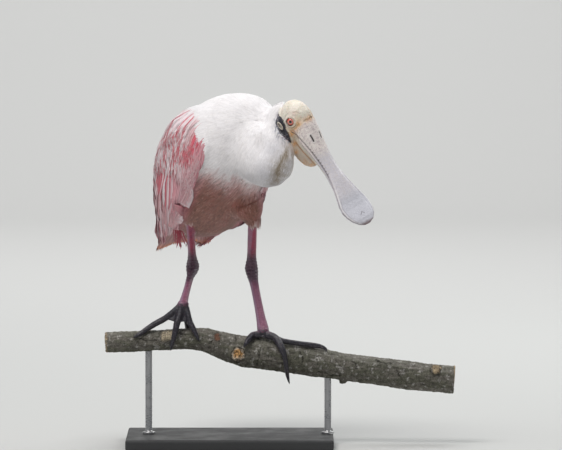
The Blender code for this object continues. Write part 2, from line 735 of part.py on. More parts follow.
def bill_ring(row, upper):
    """One section of the upper or lower half of the bill, flat along the mouth line."""
    along, half_width, above, below, lift = row
    ring = []
    depth = above if upper else below
    sign = 1 if upper else -1
    for j in range(BILL_SIDES + 1):
        angle = math.pi * j / BILL_SIDES
        sine = math.sin(angle)
        across = half_width * math.cos(angle)
        height = MOUTH_GAP / 2 + BILL_EDGE_THICK + depth * sine**BILL_SQUARENESS
        ring.append(head_point(along, across, lift + sign * height))
    for j in range(BILL_SIDES - 1, 0, -2):
        across = half_width * math.cos(math.pi * j / BILL_SIDES)
        ring.append(head_point(along, across, lift + sign * MOUTH_GAP / 2))
    return ring


def make_bill(name, upper, head):
    rows = smooth_rows(BILL_ROWS, BILL_SECTIONS)
    bill = loft(name, [bill_ring(row, upper) for row in rows], "bill")
    if upper:
        slots = []
        for side in (1, -1):
            slots.append(ellipsoid("nostril", head_point(NOSTRIL_PLACE[0], side * NOSTRIL_PLACE[1],
                                                         NOSTRIL_PLACE[2]), NOSTRIL_SIZE, HEAD, 8, 10))
        boolean(bill, slots, "DIFFERENCE")
    set_clear_of(bill, head)
    return bill


def wing_point(along, angle, side, lift=0.0):
    return section_point(WING_ROWS, along, angle, side, lift)


def make_wing(name, side, torso, others):
    """The folded wing: a shell on the flank that carries its feathers."""
    rings = []
    for along, top_angle, low_angle in smooth_rows(WING_EDGES, WING_CORE_SECTIONS):
        angles = np.linspace(top_angle, low_angle, WING_CORE_COLUMNS)
        outer = [wing_point(along, angle, side, -WING_CORE_SINK) for angle in angles]
        inner = [section_point(TORSO_ROWS, along, angle, side, WING_INNER_GAP) for angle in angles]
        rings.append(outer + inner[::-1])
    count = WING_CORE_COLUMNS
    points = [point for ring in rings for point in ring]
    sides = 2 * count
    faces = []
    for i in range(len(rings) - 1):
        for j in range(sides):
            k = (j + 1) % sides
            faces.append((i * sides + j, i * sides + k, (i + 1) * sides + k, (i + 1) * sides + j))
    for start in (0, (len(rings) - 1) * sides):
        for j in range(count - 1):
            faces.append((start + j, start + j + 1, start + sides - 2 - j, start + sides - 1 - j))
    wing = new_object(name, points, faces, "pink_feather")
    face_outwards(wing)
    boolean(wing, wing_vanes(side), "UNION")
    merge_flats(wing)
    set_clear_of(wing, torso, *others)
    return wing


def vane(name, places, acrosses, normals, half_width, thickness, shingle):
    """One feather as a flat tapering plate, with one edge lying lower than the other."""
    points = []
    for (place, across, normal), (_, width) in zip(zip(places, acrosses, normals), VANE_PROFILE):
        reach = across * (half_width * width)
        half = normal * thickness / 2
        tilt = normal * shingle * width
        points += [place - reach + tilt + half, place + reach - tilt + half,
                   place + reach - tilt - half, place - reach + tilt - half]
    faces = [(0, 1, 2), (0, 2, 3)]
    last = len(points) - 4
    faces += [(last, last + 2, last + 1), (last, last + 3, last + 2)]
    for start in range(0, last, 4):
        for j in range(4):
            k = (j + 1) % 4
            a, b, c, d = start + j, start + k, start + 4 + k, start + 4 + j
            faces += [(a, d, b), (b, d, c)] if j % 2 == 0 else [(a, d, c), (a, c, b)]
    obj = new_object(name, points, faces)
    face_outwards(obj)
    return obj


def wing_vanes(side):
    """The folded wing's feathers, laid on the wing's surface tier by tier."""
    chance = random.Random(FEATHER_SEED)
    vanes = []
    for count, roots, tips, root_angles, tip_angles, half_width, lift in WING_TIERS:
        for i in range(count):
            share = i / (count - 1)
            root, tip, root_angle, tip_angle = (
                ends[0] + (ends[1] - ends[0]) * share for ends in (roots, tips, root_angles, tip_angles)
            )
            tip += chance.uniform(-0.005, 0.005)
            tip_angle += chance.uniform(-1.5, 1.5)
            places, acrosses, normals = [], [], []
            for t, _ in VANE_PROFILE:
                along = root + (tip - root) * t
                angle = root_angle + (tip_angle - root_angle) * t
                sunk = lift - ROOT_SINK * (1 - t) ** 2
                here = wing_point(along, angle, side, sunk)
                across = (wing_point(along, angle + 1, side, sunk) - wing_point(along, angle - 1, side, sunk))
                onward = (wing_point(along - 0.002, angle, side, sunk) - here).normalized()
                normal = across.cross(onward).normalized() * side
                if normal.dot(here - BODY_CENTRE - FORWARD * along) < 0:
                    normal = -normal
                places.append(here)
                acrosses.append((across - onward * across.dot(onward)).normalized())
                normals.append(normal)
            vanes.append(vane("vane", places, acrosses, normals, half_width * chance.uniform(0.95, 1.08),
                              WING_VANE_THICK, WING_SHINGLE))
    return vanes


def make_tail(torso):
    """The tail: overlapping feathers that spread from a short root, the middle one on top."""
    chance = random.Random(FEATHER_SEED + 1)
    tail = loft("tail", tail_root_rings(), "tail_feather")
    vanes = []
    for i in range(TAIL_COUNT):
        share = 2 * i / (TAIL_COUNT - 1) - 1
        tip_along = float(np.interp(share, (-1, 0, 1), TAIL_TIP_ALONG))
        tip_along += chance.uniform(-0.002, 0.002)
        lift = TAIL_VANE_THICK * (2.2 - 3.4 * abs(share))
        places, acrosses, normals = [], [], []
        for t, _ in VANE_PROFILE:
            along = TAIL_ROOT_ALONG + (tip_along - TAIL_ROOT_ALONG) * t
            across = share * (TAIL_ROOT_SPREAD + (TAIL_TIP_SPREAD - TAIL_ROOT_SPREAD) * t)
            places.append(body_point(along, across, lift * t - TAIL_DROP * share**2 * t - TAIL_SINK))
            acrosses.append(RIGHT)
            normals.append(UP)
        vanes.append(vane("vane", places, acrosses, normals, TAIL_HALF_WIDTH, TAIL_VANE_THICK,
                          TAIL_VANE_THICK * 0.5 * (1 if share >= 0 else -1)))
    boolean(tail, vanes, "UNION")
    merge_flats(tail)
    set_clear_of(tail, torso)
    return tail


def tail_root_rings():
    rings = []
    for along, half_width, half_height in TAIL_STUMP:
        ring = []
        for j in range(TAIL_STUMP_SIDES):
            angle = 2 * math.pi * j / TAIL_STUMP_SIDES
            ring.append(body_point(along, half_width * math.cos(angle),
                                   half_height * math.sin(angle) - TAIL_SINK))
        rings.append(ring)
    return rings


def make_thigh(name, leg, torso):
    knee, cuff = Vector(leg["knee"]), Vector(leg["cuff"])
    places = [knee.lerp(cuff, t) for t, _ in THIGH_ROWS]
    radii = [THIGH_RADIUS * share for _, share in THIGH_ROWS]
    thigh = tube(name, places, radii, THIGH_SIDES, "white_feather")
    set_clear_of(thigh, torso)
    return thigh


def make_leg(name, leg, *neighbours):
    """The bare tibia, the hock and the tarsus, as one bone-straight leg."""
    knee, cuff, hock, ankle = (Vector(leg[key]) for key in ("knee", "cuff", "hock", "ankle"))
    tibia_radius, hock_radius, tarsus_radius, ankle_radius = leg["radii"]
    rows = []
    start = cuff.lerp(knee, TIBIA_START)
    for t, share in TIBIA_ROWS:
        rows.append((*start.lerp(hock, t), tibia_radius + (hock_radius - tibia_radius) * share))
    for t, of_hock, of_tarsus, of_ankle in TARSUS_ROWS:
        radius = hock_radius * of_hock + tarsus_radius * of_tarsus + ankle_radius * of_ankle
        rows.append((*hock.lerp(ankle, t), radius))
    path = smooth_rows(rows, LEG_SECTIONS)
    made = tube(name, path[:, :3], path[:, 3], LEG_SIDES, "leg_skin")
    set_clear_of(made, *neighbours)
    return made


def make_foot(name, leg, toes, web_reach, leg_solid, perch):
    """The toes with their claws and the small webs between them, joined at the ankle."""
    ankle = Vector(leg["ankle"]) + Vector(ANKLE_SHIFT)
    pieces = [ellipsoid("ankle", ankle, ANKLE_SIZE, None, 16, 24)]
    for key, points in toes.items():
        rows = [(*place, radius) for place, radius in points]
        path = smooth_rows(rows, 3 * len(points) - 3)
        pieces.append(tube("toe_" + key, path[:, :3], path[:, 3], TOE_SIDES))
    for a, b in (("outer", "middle"), ("middle", "inner")):
        first, second = ([Vector(place) for place, _ in toes[key]] for key in (a, b))
        near, far = (toe[1].lerp(toe[2], web_reach) for toe in (first, second))
        middle = ((first[1] + second[1]) / 2).lerp((near + far) / 2, web_reach)
        pieces.append(web("web", [first[0], near, middle, far, second[0]]))
    foot = melted(name, pieces, FOOT_VOXEL, FOOT_SMOOTHING, FOOT_TRIANGLES, "foot_skin")
    set_clear_of(foot, leg_solid, perch)
    return foot


def web(name, corners):
    """A thin closed sheet over the corners, which lie nearly in one plane."""
    normal = (corners[1] - corners[0]).cross(corners[3] - corners[0]).normalized()
    half = normal * WEB_THICKNESS / 2
    middle = sum(corners, Vector()) / len(corners)
    points = [corner + half for corner in corners] + [corner - half for corner in corners]
    points += [middle + half, middle - half]
    count = len(corners)
    faces = []
    for j in range(count):
        k = (j + 1) % count
        faces.append((j, k, 2 * count))
        faces.append((count + k, count + j, 2 * count + 1))
        faces.append((j, count + j, count + k))
        faces.append((j, count + k, k))
    obj = new_object(name, points, faces)
    face_outwards(obj)
    return obj


def perch_at(x):
    """The middle of the branch and its radius at a place along X."""
    places = np.array([place for place, _ in PERCH_POINTS])
    radii = [radius for _, radius in PERCH_POINTS]
    centre = Vector((x, np.interp(x, places[:, 0], places[:, 1]), np.interp(x, places[:, 0], places[:, 2])))
    return centre, float(np.interp(x, places[:, 0], radii))


def make_perch():
    rows = [(*place, radius) for place, radius in PERCH_POINTS]
    path = smooth_rows(rows, PERCH_SECTIONS)
    perch = tube("perch", path[:, :3], path[:, 3], PERCH_SIDES, "bark")
    stubs = []
    for x, degrees, radius, height in PERCH_STUBS:
        centre, branch_radius = perch_at(x)
        angle = math.radians(degrees)
        out = Vector((0, -math.sin(angle), math.cos(angle)))
        places, radii = [], []
        for depth, out_share, width in STUB_ROWS:
            places.append(centre + out * (branch_radius * depth + height * out_share))
            radii.append(radius * width)
        stubs.append(tube("stub", places, radii, STUB_SIDES))
    boolean(perch, stubs, "UNION")
    return perch


def make_base():
    shape = bmesh.new()
    bmesh.ops.create_cube(shape, size=1.0)
    bmesh.ops.transform(shape, matrix=Matrix.Diagonal(Vector((*BASE_SIZE, 1))), verts=shape.verts)
    bmesh.ops.translate(shape, vec=(0, 0, BASE_SIZE[2] / 2), verts=shape.verts)
    mesh = bpy.data.meshes.new("stand_base")
    shape.to_mesh(mesh)
    shape.free()
    mesh.materials.append(material("base_paint"))
    base = bpy.data.objects.new("stand_base", mesh)
    bpy.context.scene.collection.objects.link(base)
    bevel = base.modifiers.new("Bevel", "BEVEL")
    bevel.width = BASE_BEVEL
    bevel.segments = 2
    apply_modifiers(base)
    return base


def make_rod(name, x, perch):
    centre, _ = perch_at(x)
    bottom = Vector((x, centre.y, BASE_SIZE[2] + GAP))
    top = Vector((x, centre.y, centre.z))
    rod = tube(name, (bottom, bottom.lerp(top, 0.5), top), (ROD_RADIUS,) * 3, ROD_SIDES, "rod_steel")
    set_clear_of(rod, perch)
    return rod


def main():
    clear_scene()
    torso = make_torso()
    head = make_head()
    ears = [make_ear("ear_right", 1, head), make_ear("ear_left", -1, head)]
    neck = make_neck(torso, head, *ears)
    upper = make_bill("bill_upper", True, head)
    lower = make_bill("bill_lower", False, head)
    perch = make_perch()
    parts = [torso, neck, head, upper, lower, perch]
    parts.append(make_eye("eye_right", 1))
    parts.append(make_eye("eye_left", -1))
    parts += ears
    tail = make_tail(torso)
    parts.append(tail)
    for side_name, side in (("right", 1), ("left", -1)):
        measures = LEGS[side_name]
        thigh = make_thigh("thigh_" + side_name, measures, torso)
        leg = make_leg("leg_" + side_name, measures, thigh, torso)
        foot = make_foot("foot_" + side_name, measures, TOES[side_name], WEB_REACH[side_name], leg, perch)
        wing = make_wing("wing_" + side_name, side, torso, [tail, thigh, neck, leg])
        parts += [thigh, leg, foot, wing]
    parts.append(make_base())
    for name, x in ROD_PLACES.items():
        parts.append(make_rod(name, x, perch))
    for part in parts:
        shade(part)


main()
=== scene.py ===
"""Looks of the roseate spoonbill on its cut branch and stand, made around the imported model.

Metres, +Z up. The bird faces -Y, turned a little to +X. "right" is its own right side, towards -X.
"""

import math
import random

import bmesh
import bpy
import numpy as np
from mathutils import Matrix, Vector
from mathutils.bvhtree import BVHTree
from mathutils.kdtree import KDTree


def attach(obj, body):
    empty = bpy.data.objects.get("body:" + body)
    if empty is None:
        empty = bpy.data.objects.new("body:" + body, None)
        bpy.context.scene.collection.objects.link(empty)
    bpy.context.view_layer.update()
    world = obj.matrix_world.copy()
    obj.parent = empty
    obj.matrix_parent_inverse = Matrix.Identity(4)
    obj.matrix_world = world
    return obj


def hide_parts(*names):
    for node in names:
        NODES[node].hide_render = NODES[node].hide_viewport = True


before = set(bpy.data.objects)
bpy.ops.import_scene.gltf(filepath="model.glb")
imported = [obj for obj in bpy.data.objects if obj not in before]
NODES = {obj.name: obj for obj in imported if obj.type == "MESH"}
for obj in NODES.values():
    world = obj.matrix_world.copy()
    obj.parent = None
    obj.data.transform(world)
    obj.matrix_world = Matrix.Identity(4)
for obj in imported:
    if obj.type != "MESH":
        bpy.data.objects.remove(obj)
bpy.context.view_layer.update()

# Camera, from the photograph's own view.
CAMERA_TARGET = Vector((0.074, 0.000, 0.320))
CAMERA_DISTANCE = 9.0
CAMERA_DROP = math.radians(3.5)
CAMERA_LENS = 397.6
CAMERA_SENSOR = 36.0
CAMERA_CLIP = (0.5, 60.0)

# Stage and light.
FLOOR_RADIUS = 14.0
BACKDROP_DISTANCE = 7.0
BACKDROP_HEIGHT = 9.0
STAGE_BEND = 1.6
STAGE_STEPS = 12
STAGE_COLOUR = (0.56, 0.56, 0.55)
WORLD_COLOUR = (0.93, 0.96, 1.00)
WORLD_STRENGTH = 0.22
LIGHTS = (
    ("key", (-1.0, -1.7, 3.2), 1.5, 80.0, (1.0, 0.985, 0.96), (0.02, 0.0, 0.36)),
    ("top", (0.3, 0.6, 3.4), 2.0, 50.0, (0.97, 0.99, 1.0), (0.02, 0.0, 0.36)),
    ("rim", (1.9, 1.7, 1.9), 1.2, 20.0, (0.96, 1.0, 0.97), (0.02, 0.0, 0.36)),
    ("backdrop", (0.0, 3.4, 4.4), 3.0, 210.0, (1.0, 1.0, 1.0), (0.0, 7.0, 1.2)),
)

# The body's own frame: forward, right and up from the middle of the body.
BODY_YAW = math.radians(16)
BODY_PITCH = math.radians(33)
BODY_CENTRE = Vector((-0.023, 0.000, 0.404))

# The head's own frame: along the bill, the bird's right and up, from the middle of the bill's base.
HEAD_ORIGIN = Vector((0.1080, -0.128, 0.4635))
BILL_DROP = math.radians(57.2)
BILL_TOWARDS_FRONT = math.radians(8)
HEAD_ROLL = math.radians(50)


def body_axes():
    level = Vector((math.sin(BODY_YAW), -math.cos(BODY_YAW), 0))
    forward = level * math.cos(BODY_PITCH) + Vector((0, 0, 1)) * math.sin(BODY_PITCH)
    right = level.cross(Vector((0, 0, 1))).normalized()
    return np.array([forward, right, right.cross(forward).normalized()])


def head_axes():
    flat = Vector((math.cos(BILL_DROP), 0, -math.sin(BILL_DROP)))
    along = flat * math.cos(BILL_TOWARDS_FRONT) + Vector((0, -1, 0)) * math.sin(BILL_TOWARDS_FRONT)
    level_up = Vector((math.sin(BILL_DROP), 0, math.cos(BILL_DROP)))
    nearer = along.cross(level_up).normalized()
    if nearer.y > 0:
        nearer = -nearer
    up = level_up * math.cos(HEAD_ROLL) + nearer * math.sin(HEAD_ROLL)
    return np.array([along, along.cross(up).normalized(), up])


BODY = body_axes()
HEAD = head_axes()
FORWARD, RIGHT, UP = BODY


def to_body(points):
    """Along, side and up of world points in the body's frame."""
    return (points - np.array(BODY_CENTRE)) @ BODY.T


def from_body(local):
    return np.array(BODY_CENTRE) + np.asarray(local) @ BODY


def to_head(points):
    return (points - np.array(HEAD_ORIGIN)) @ HEAD.T


def from_head(local):
    return np.array(HEAD_ORIGIN) + np.asarray(local) @ HEAD


def unit(vectors):
    return vectors / np.maximum(np.linalg.norm(vectors, axis=-1, keepdims=True), 1e-12)


def smoothstep(low, high, values):
    t = np.clip((np.asarray(values, float) - low) / (high - low), 0.0, 1.0)
    return t * t * (3 - 2 * t)


def mix(a, b, share):
    share = np.asarray(share, float)[..., None]
    return np.asarray(a, float) * (1 - share) + np.asarray(b, float) * share


# Smooth pseudo-random values from sums of turned waves, the same each run.
class Waves:
    def __init__(self, size, seed, octaves=3, waves=7):
        chance = np.random.default_rng(seed)
        self.parts = []
        for octave in range(octaves):
            directions = unit(chance.normal(size=(waves, 3)))
            scale = 2 * math.pi / size * 2.0**octave * chance.uniform(0.7, 1.35, waves)
            phase = chance.uniform(0, 2 * math.pi, waves)
            self.parts.append((directions * scale[:, None], phase, 0.55**octave))

    def __call__(self, points):
        total = np.zeros(len(points))
        for directions, phase, weight in self.parts:
            total += np.sin(points @ directions.T + phase).sum(1) * weight / math.sqrt(len(phase))
        return total * 0.9


def node_mesh(names):
    """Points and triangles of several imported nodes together."""
    points, faces = [], []
    start = 0
    for name in names:
        mesh = NODES[name].data
        co = np.empty(len(mesh.vertices) * 3)
        mesh.vertices.foreach_get("co", co)
        mesh.calc_loop_triangles()
        triangles = np.empty(len(mesh.loop_triangles) * 3, int)
        mesh.loop_triangles.foreach_get("vertices", triangles)
        points.append(co.reshape(-1, 3))
        faces.append(triangles.reshape(-1, 3) + start)
        start += len(mesh.vertices)
    return np.vstack(points), np.vstack(faces)


def mesh_object(name, points, faces, material=None, smooth=True):
    """A new object from arrays. faces is an array of triangles or quads."""
    faces = np.asarray(faces)
    mesh = bpy.data.meshes.new(name)
    mesh.vertices.add(len(points))
    mesh.vertices.foreach_set("co", np.asarray(points, np.float32).ravel())
    mesh.loops.add(faces.size)
    mesh.loops.foreach_set("vertex_index", faces.ravel().astype(np.int32))
    mesh.polygons.add(len(faces))
    mesh.polygons.foreach_set("loop_start", np.arange(0, faces.size, faces.shape[1], dtype=np.int32))
    mesh.update(calc_edges=True)
    mesh.polygons.foreach_set("use_smooth", np.full(len(faces), smooth))
    if material:
        mesh.materials.append(material)
    obj = bpy.data.objects.new(name, mesh)
    bpy.context.scene.collection.objects.link(obj)
    return obj


def mesh_points(obj):
    co = np.empty(len(obj.data.vertices) * 3)
    obj.data.vertices.foreach_get("co", co)
    return co.reshape(-1, 3)


def set_points(obj, points):
    obj.data.vertices.foreach_set("co", np.asarray(points, np.float32).ravel())
    obj.data.update()


def point_normals(obj):
    normals = np.empty(len(obj.data.vertices) * 3)
    obj.data.vertices.foreach_get("normal", normals)
    return normals.reshape(-1, 3)


def apply_modifiers(obj):
    graph = bpy.context.evaluated_depsgraph_get()
    graph.update()
    mesh = bpy.data.meshes.new_from_object(obj.evaluated_get(graph))
    obj.modifiers.clear()
    old = obj.data
    obj.data = mesh
    bpy.data.meshes.remove(old)


def relaxed(points, edges, rounds, keep_volume=True):
    """The points after smoothing along the edges, with the shrinkage taken back."""
    count = len(points)
    degree = np.bincount(edges.ravel(), minlength=count).clip(1)
    for step in range(rounds * (2 if keep_volume else 1)):
        factor = 0.52 if step % 2 == 0 or not keep_volume else -0.535
        total = np.stack([
            np.bincount(edges[:, 0], points[edges[:, 1], k], count)
            + np.bincount(edges[:, 1], points[edges[:, 0], k], count)
            for k in range(3)
        ], axis=1)
        points = points + factor * (total / degree[:, None] - points)
    return points


def mesh_edges(obj):
    edges = np.empty(len(obj.data.edges) * 2, int)
    obj.data.edges.foreach_get("vertices", edges)
    return edges.reshape(-1, 2)


def melted(name, points, faces, voxel, rounds, material=None):
    """One smooth closed skin round overlapping closed shapes."""
    obj = mesh_object(name, points, faces, None)
    remesh = obj.modifiers.new("Remesh", "REMESH")
    remesh.mode = "VOXEL"
    remesh.voxel_size = voxel
    apply_modifiers(obj)
    set_points(obj, relaxed(mesh_points(obj), mesh_edges(obj), rounds))
    obj.data.materials.clear()
    if material:
        obj.data.materials.append(material)
    obj.data.shade_smooth()
    return obj


class Surface:
    """Nearest points, normals and distances on a triangle mesh."""

    def __init__(self, points, faces):
        self.points = points
        self.faces = faces
        self.tree = BVHTree.FromPolygons(points.tolist(), faces.tolist())

    def nearest(self, points):
        places, normals = np.empty((len(points), 3)), np.empty((len(points), 3))
        for i, point in enumerate(points):
            place, normal, _, _ = self.tree.find_nearest(point)
            places[i] = place
            normals[i] = normal
        return places, normals

    def distance(self, points):
        return np.array([self.tree.find_nearest(point)[3] for point in points])


class SmoothSurface(Surface):
    """A surface whose normals are blended from its points, as smooth shading does."""

    def __init__(self, obj):
        mesh = obj.data
        mesh.calc_loop_triangles()
        triangles = np.empty(len(mesh.loop_triangles) * 3, int)
        mesh.loop_triangles.foreach_get("vertices", triangles)
        super().__init__(mesh_points(obj), triangles.reshape(-1, 3))
        self.point_normals = point_normals(obj)

    def nearest(self, points):
        places = np.empty((len(points), 3))
        index = np.empty(len(points), int)
        for i, point in enumerate(points):
            place, _, face, _ = self.tree.find_nearest(point)
            places[i] = place
            index[i] = face
        corners = self.faces[index]
        gaps = np.linalg.norm(self.points[corners] - places[:, None], axis=2)
        weights = 1.0 / (gaps + 1e-5)
        normals = (self.point_normals[corners] * weights[..., None]).sum(1)
        return places, unit(normals)


def paint(obj, colours, name="Col"):
    layer = obj.data.color_attributes.new(name, "FLOAT_COLOR", "POINT")
    full = np.ones((len(colours), 4), np.float32)
    full[:, :3] = colours
    layer.data.foreach_set("color", full.ravel())


# Node helpers for materials.
def new_material(name, roughness=0.5, colour=None, **sockets):
    made = bpy.data.materials.new(name)
    made.use_nodes = True
    shader = made.node_tree.nodes["Principled BSDF"]
    shader.inputs["Roughness"].default_value = roughness
    if colour:
        shader.inputs["Base Color"].default_value = (*colour, 1.0)
    for socket, value in sockets.items():
        shader.inputs[socket.replace("_", " ")].default_value = value
    return made, made.node_tree, shader


def add_node(tree, kind, inputs=(), **settings):
    made = tree.nodes.new(kind)
    for key, value in settings.items():
        setattr(made, key, value)
    for key, value in dict(inputs).items():
        if isinstance(value, bpy.types.NodeSocket):
            tree.links.new(value, made.inputs[key])
        else:
            made.inputs[key].default_value = value
    return made


def maths(tree, operation, a, b=0.0):
    made = add_node(tree, "ShaderNodeMath", {0: a, 1: b}, operation=operation)
    return made.outputs[0]


def ramp(tree, value, low, high, out_low=0.0, out_high=1.0):
    made = add_node(tree, "ShaderNodeMapRange",
                    {"Value": value, "From Min": low, "From Max": high,
                     "To Min": out_low, "To Max": out_high}, interpolation_type="SMOOTHSTEP")
    return made.outputs[0]


def tinted(tree, colour, other, share):
    """Colour mixed with another one by a share, either of which may be a socket."""
    made = add_node(tree, "ShaderNodeMix", data_type="RGBA")
    for key, value in ((6, colour), (7, other), (0, share)):
        if isinstance(value, bpy.types.NodeSocket):
            tree.links.new(value, made.inputs[key])
        elif key == 0:
            made.inputs[key].default_value = value
        else:
            made.inputs[key].default_value = (*value, 1.0)
    return made.outputs[2]


def bump(tree, shader, height, strength, distance, under=None):
    made = add_node(tree, "ShaderNodeBump", {"Height": height, "Strength": strength, "Distance": distance})
    if under is not None:
        tree.links.new(under, made.inputs["Normal"])
    tree.links.new(made.outputs[0], shader.inputs["Normal"])
    return made.outputs[0]


def noise(tree, scale, detail=2.0, vector=None, roughness=0.55):
    made = add_node(tree, "ShaderNodeTexNoise", {"Scale": scale, "Detail": detail, "Roughness": roughness})
    if vector is not None:
        tree.links.new(vector, made.inputs["Vector"])
    return made.outputs[0]


def place_socket(tree):
    return add_node(tree, "ShaderNodeTexCoord").outputs["Object"]


def scaled(tree, vector, factors):
    made = add_node(tree, "ShaderNodeVectorMath", {0: vector, 1: factors}, operation="MULTIPLY")
    return made.outputs[0]


def feather_material(name, roughness, sheen, streak, shaft=0.0):
    """Painted feathers with lengthwise streaks and fine barbs, read from each feather's own measures."""
    made, tree, shader = new_material(name, roughness, None, Sheen_Weight=sheen, Sheen_Roughness=0.6,
                                      Specular_IOR_Level=0.22)
    paint_layer = add_node(tree, "ShaderNodeAttribute", attribute_name="Col")
    measures = add_node(tree, "ShaderNodeAttribute", attribute_name="barb")
    split = add_node(tree, "ShaderNodeSeparateXYZ", {0: measures.outputs["Vector"]})
    across, onward, chance = split.outputs
    wide = maths(tree, "ABSOLUTE", across)
    # Barbs leave the shaft at a slant, so their lines run along onward minus part of across.
    slant = maths(tree, "SUBTRACT", onward, maths(tree, "MULTIPLY", wide, 1.6))
    lines = add_node(tree, "ShaderNodeCombineXYZ",
                     {0: maths(tree, "MULTIPLY", slant, 900.0), 1: maths(tree, "MULTIPLY", wide, 90.0),
                      2: maths(tree, "MULTIPLY", chance, 50.0)})
    barbs = noise(tree, 1.0, 2.0, lines.outputs[0])
    long_lines = add_node(tree, "ShaderNodeCombineXYZ",
                          {0: maths(tree, "MULTIPLY", across, 520.0), 1: maths(tree, "MULTIPLY", onward, 38.0),
                           2: maths(tree, "MULTIPLY", chance, 90.0)})
    streaks = noise(tree, 1.0, 2.0, long_lines.outputs[0])
    value = maths(tree, "ADD", ramp(tree, streaks, 0.30, 0.70, 1.0 - streak, 1.0 + streak * 0.55),
                  ramp(tree, barbs, 0.3, 0.7, -0.05, 0.04))
    brighter = add_node(tree, "ShaderNodeHueSaturation",
                        {"Color": paint_layer.outputs["Color"], "Value": value, "Saturation": 1.0})
    colour = brighter.outputs[0]
    if shaft:
        line = ramp(tree, wide, 0.0, shaft, 0.62, 0.0)
        colour = tinted(tree, colour, (0.80, 0.70, 0.70), line)
    tree.links.new(colour, shader.inputs["Base Color"])
    bump(tree, shader, barbs, 0.35, 0.0006)
    return made


# Feather shapes. A template holds one feather as shares along its length, t, and across it, s, with
# the height of each point in thicknesses, its triangles, and the first point of its keel.
def vane_template(rows, columns, fray, profile, seed=1):
    chance = random.Random(seed)
    t_rows = [j / (rows - 1) for j in range(rows)]
    s_columns = np.linspace(-1, 1, columns)
    t, s, h = [], [], []
    for j, row in enumerate(t_rows):
        width = float(np.interp(row, [p[0] for p in profile], [p[1] for p in profile]))
        for i, column in enumerate(s_columns):
            along = row
            if j == rows - 1:
                along += fray * (0.9 if i % 2 else -0.9) + chance.uniform(-0.3, 0.3) * fray
            elif j and abs(column) > 0.99:
                along += fray * 0.25
            spread = 1.0
            if 0 < j < rows - 1 and abs(column) > 0.99:
                spread = 1.0 + fray * (0.7 if (j + (column > 0)) % 2 else -0.6)
            t.append(along)
            s.append(column * width * spread)
            h.append(0.5 * (1 - column**2))
    keel = len(t)
    for row in t_rows:
        # The keel ends before the most frayed points of the tip, so that no face there is turned over.
        t.append(row * (0.96 - 1.5 * fray))
        s.append(0.0)
        h.append(-0.5)
    faces = []
    for j in range(rows - 1):
        a, b = j * columns, (j + 1) * columns
        for i in range(columns - 1):
            faces += [(a + i, a + i + 1, b + i + 1), (a + i, b + i + 1, b + i)]
        left, right, low = a, a + columns - 1, keel + j
        faces += [(left, b, low + 1), (left, low + 1, low)]
        faces += [(right, low, low + 1), (right, low + 1, b + columns - 1)]
    last = (rows - 1) * columns
    for i in range(columns - 1):
        faces.append((i, keel, i + 1))
        faces.append((last + i, last + i + 1, keel + rows - 1))
    return {"t": np.array(t), "s": np.array(s), "h": np.array(h), "faces": np.array(faces), "keel": keel}


PLUME = ((0.0, 0.35), (0.35, 0.9), (0.6, 1.0), (1.0, 0.34))
CONTOUR = ((0.0, 0.30), (0.3, 0.85), (0.65, 1.0), (0.88, 0.85), (1.0, 0.50))
COVERT = ((0.0, 0.30), (0.25, 0.85), (0.6, 1.0), (0.9, 0.72), (1.0, 0.34))
FLIGHT = ((0.0, 0.25), (0.1, 0.6), (0.35, 0.95), (0.7, 1.0), (0.9, 0.80), (0.97, 0.52), (1.0, 0.28))

BAKE_PATCH = 0.003


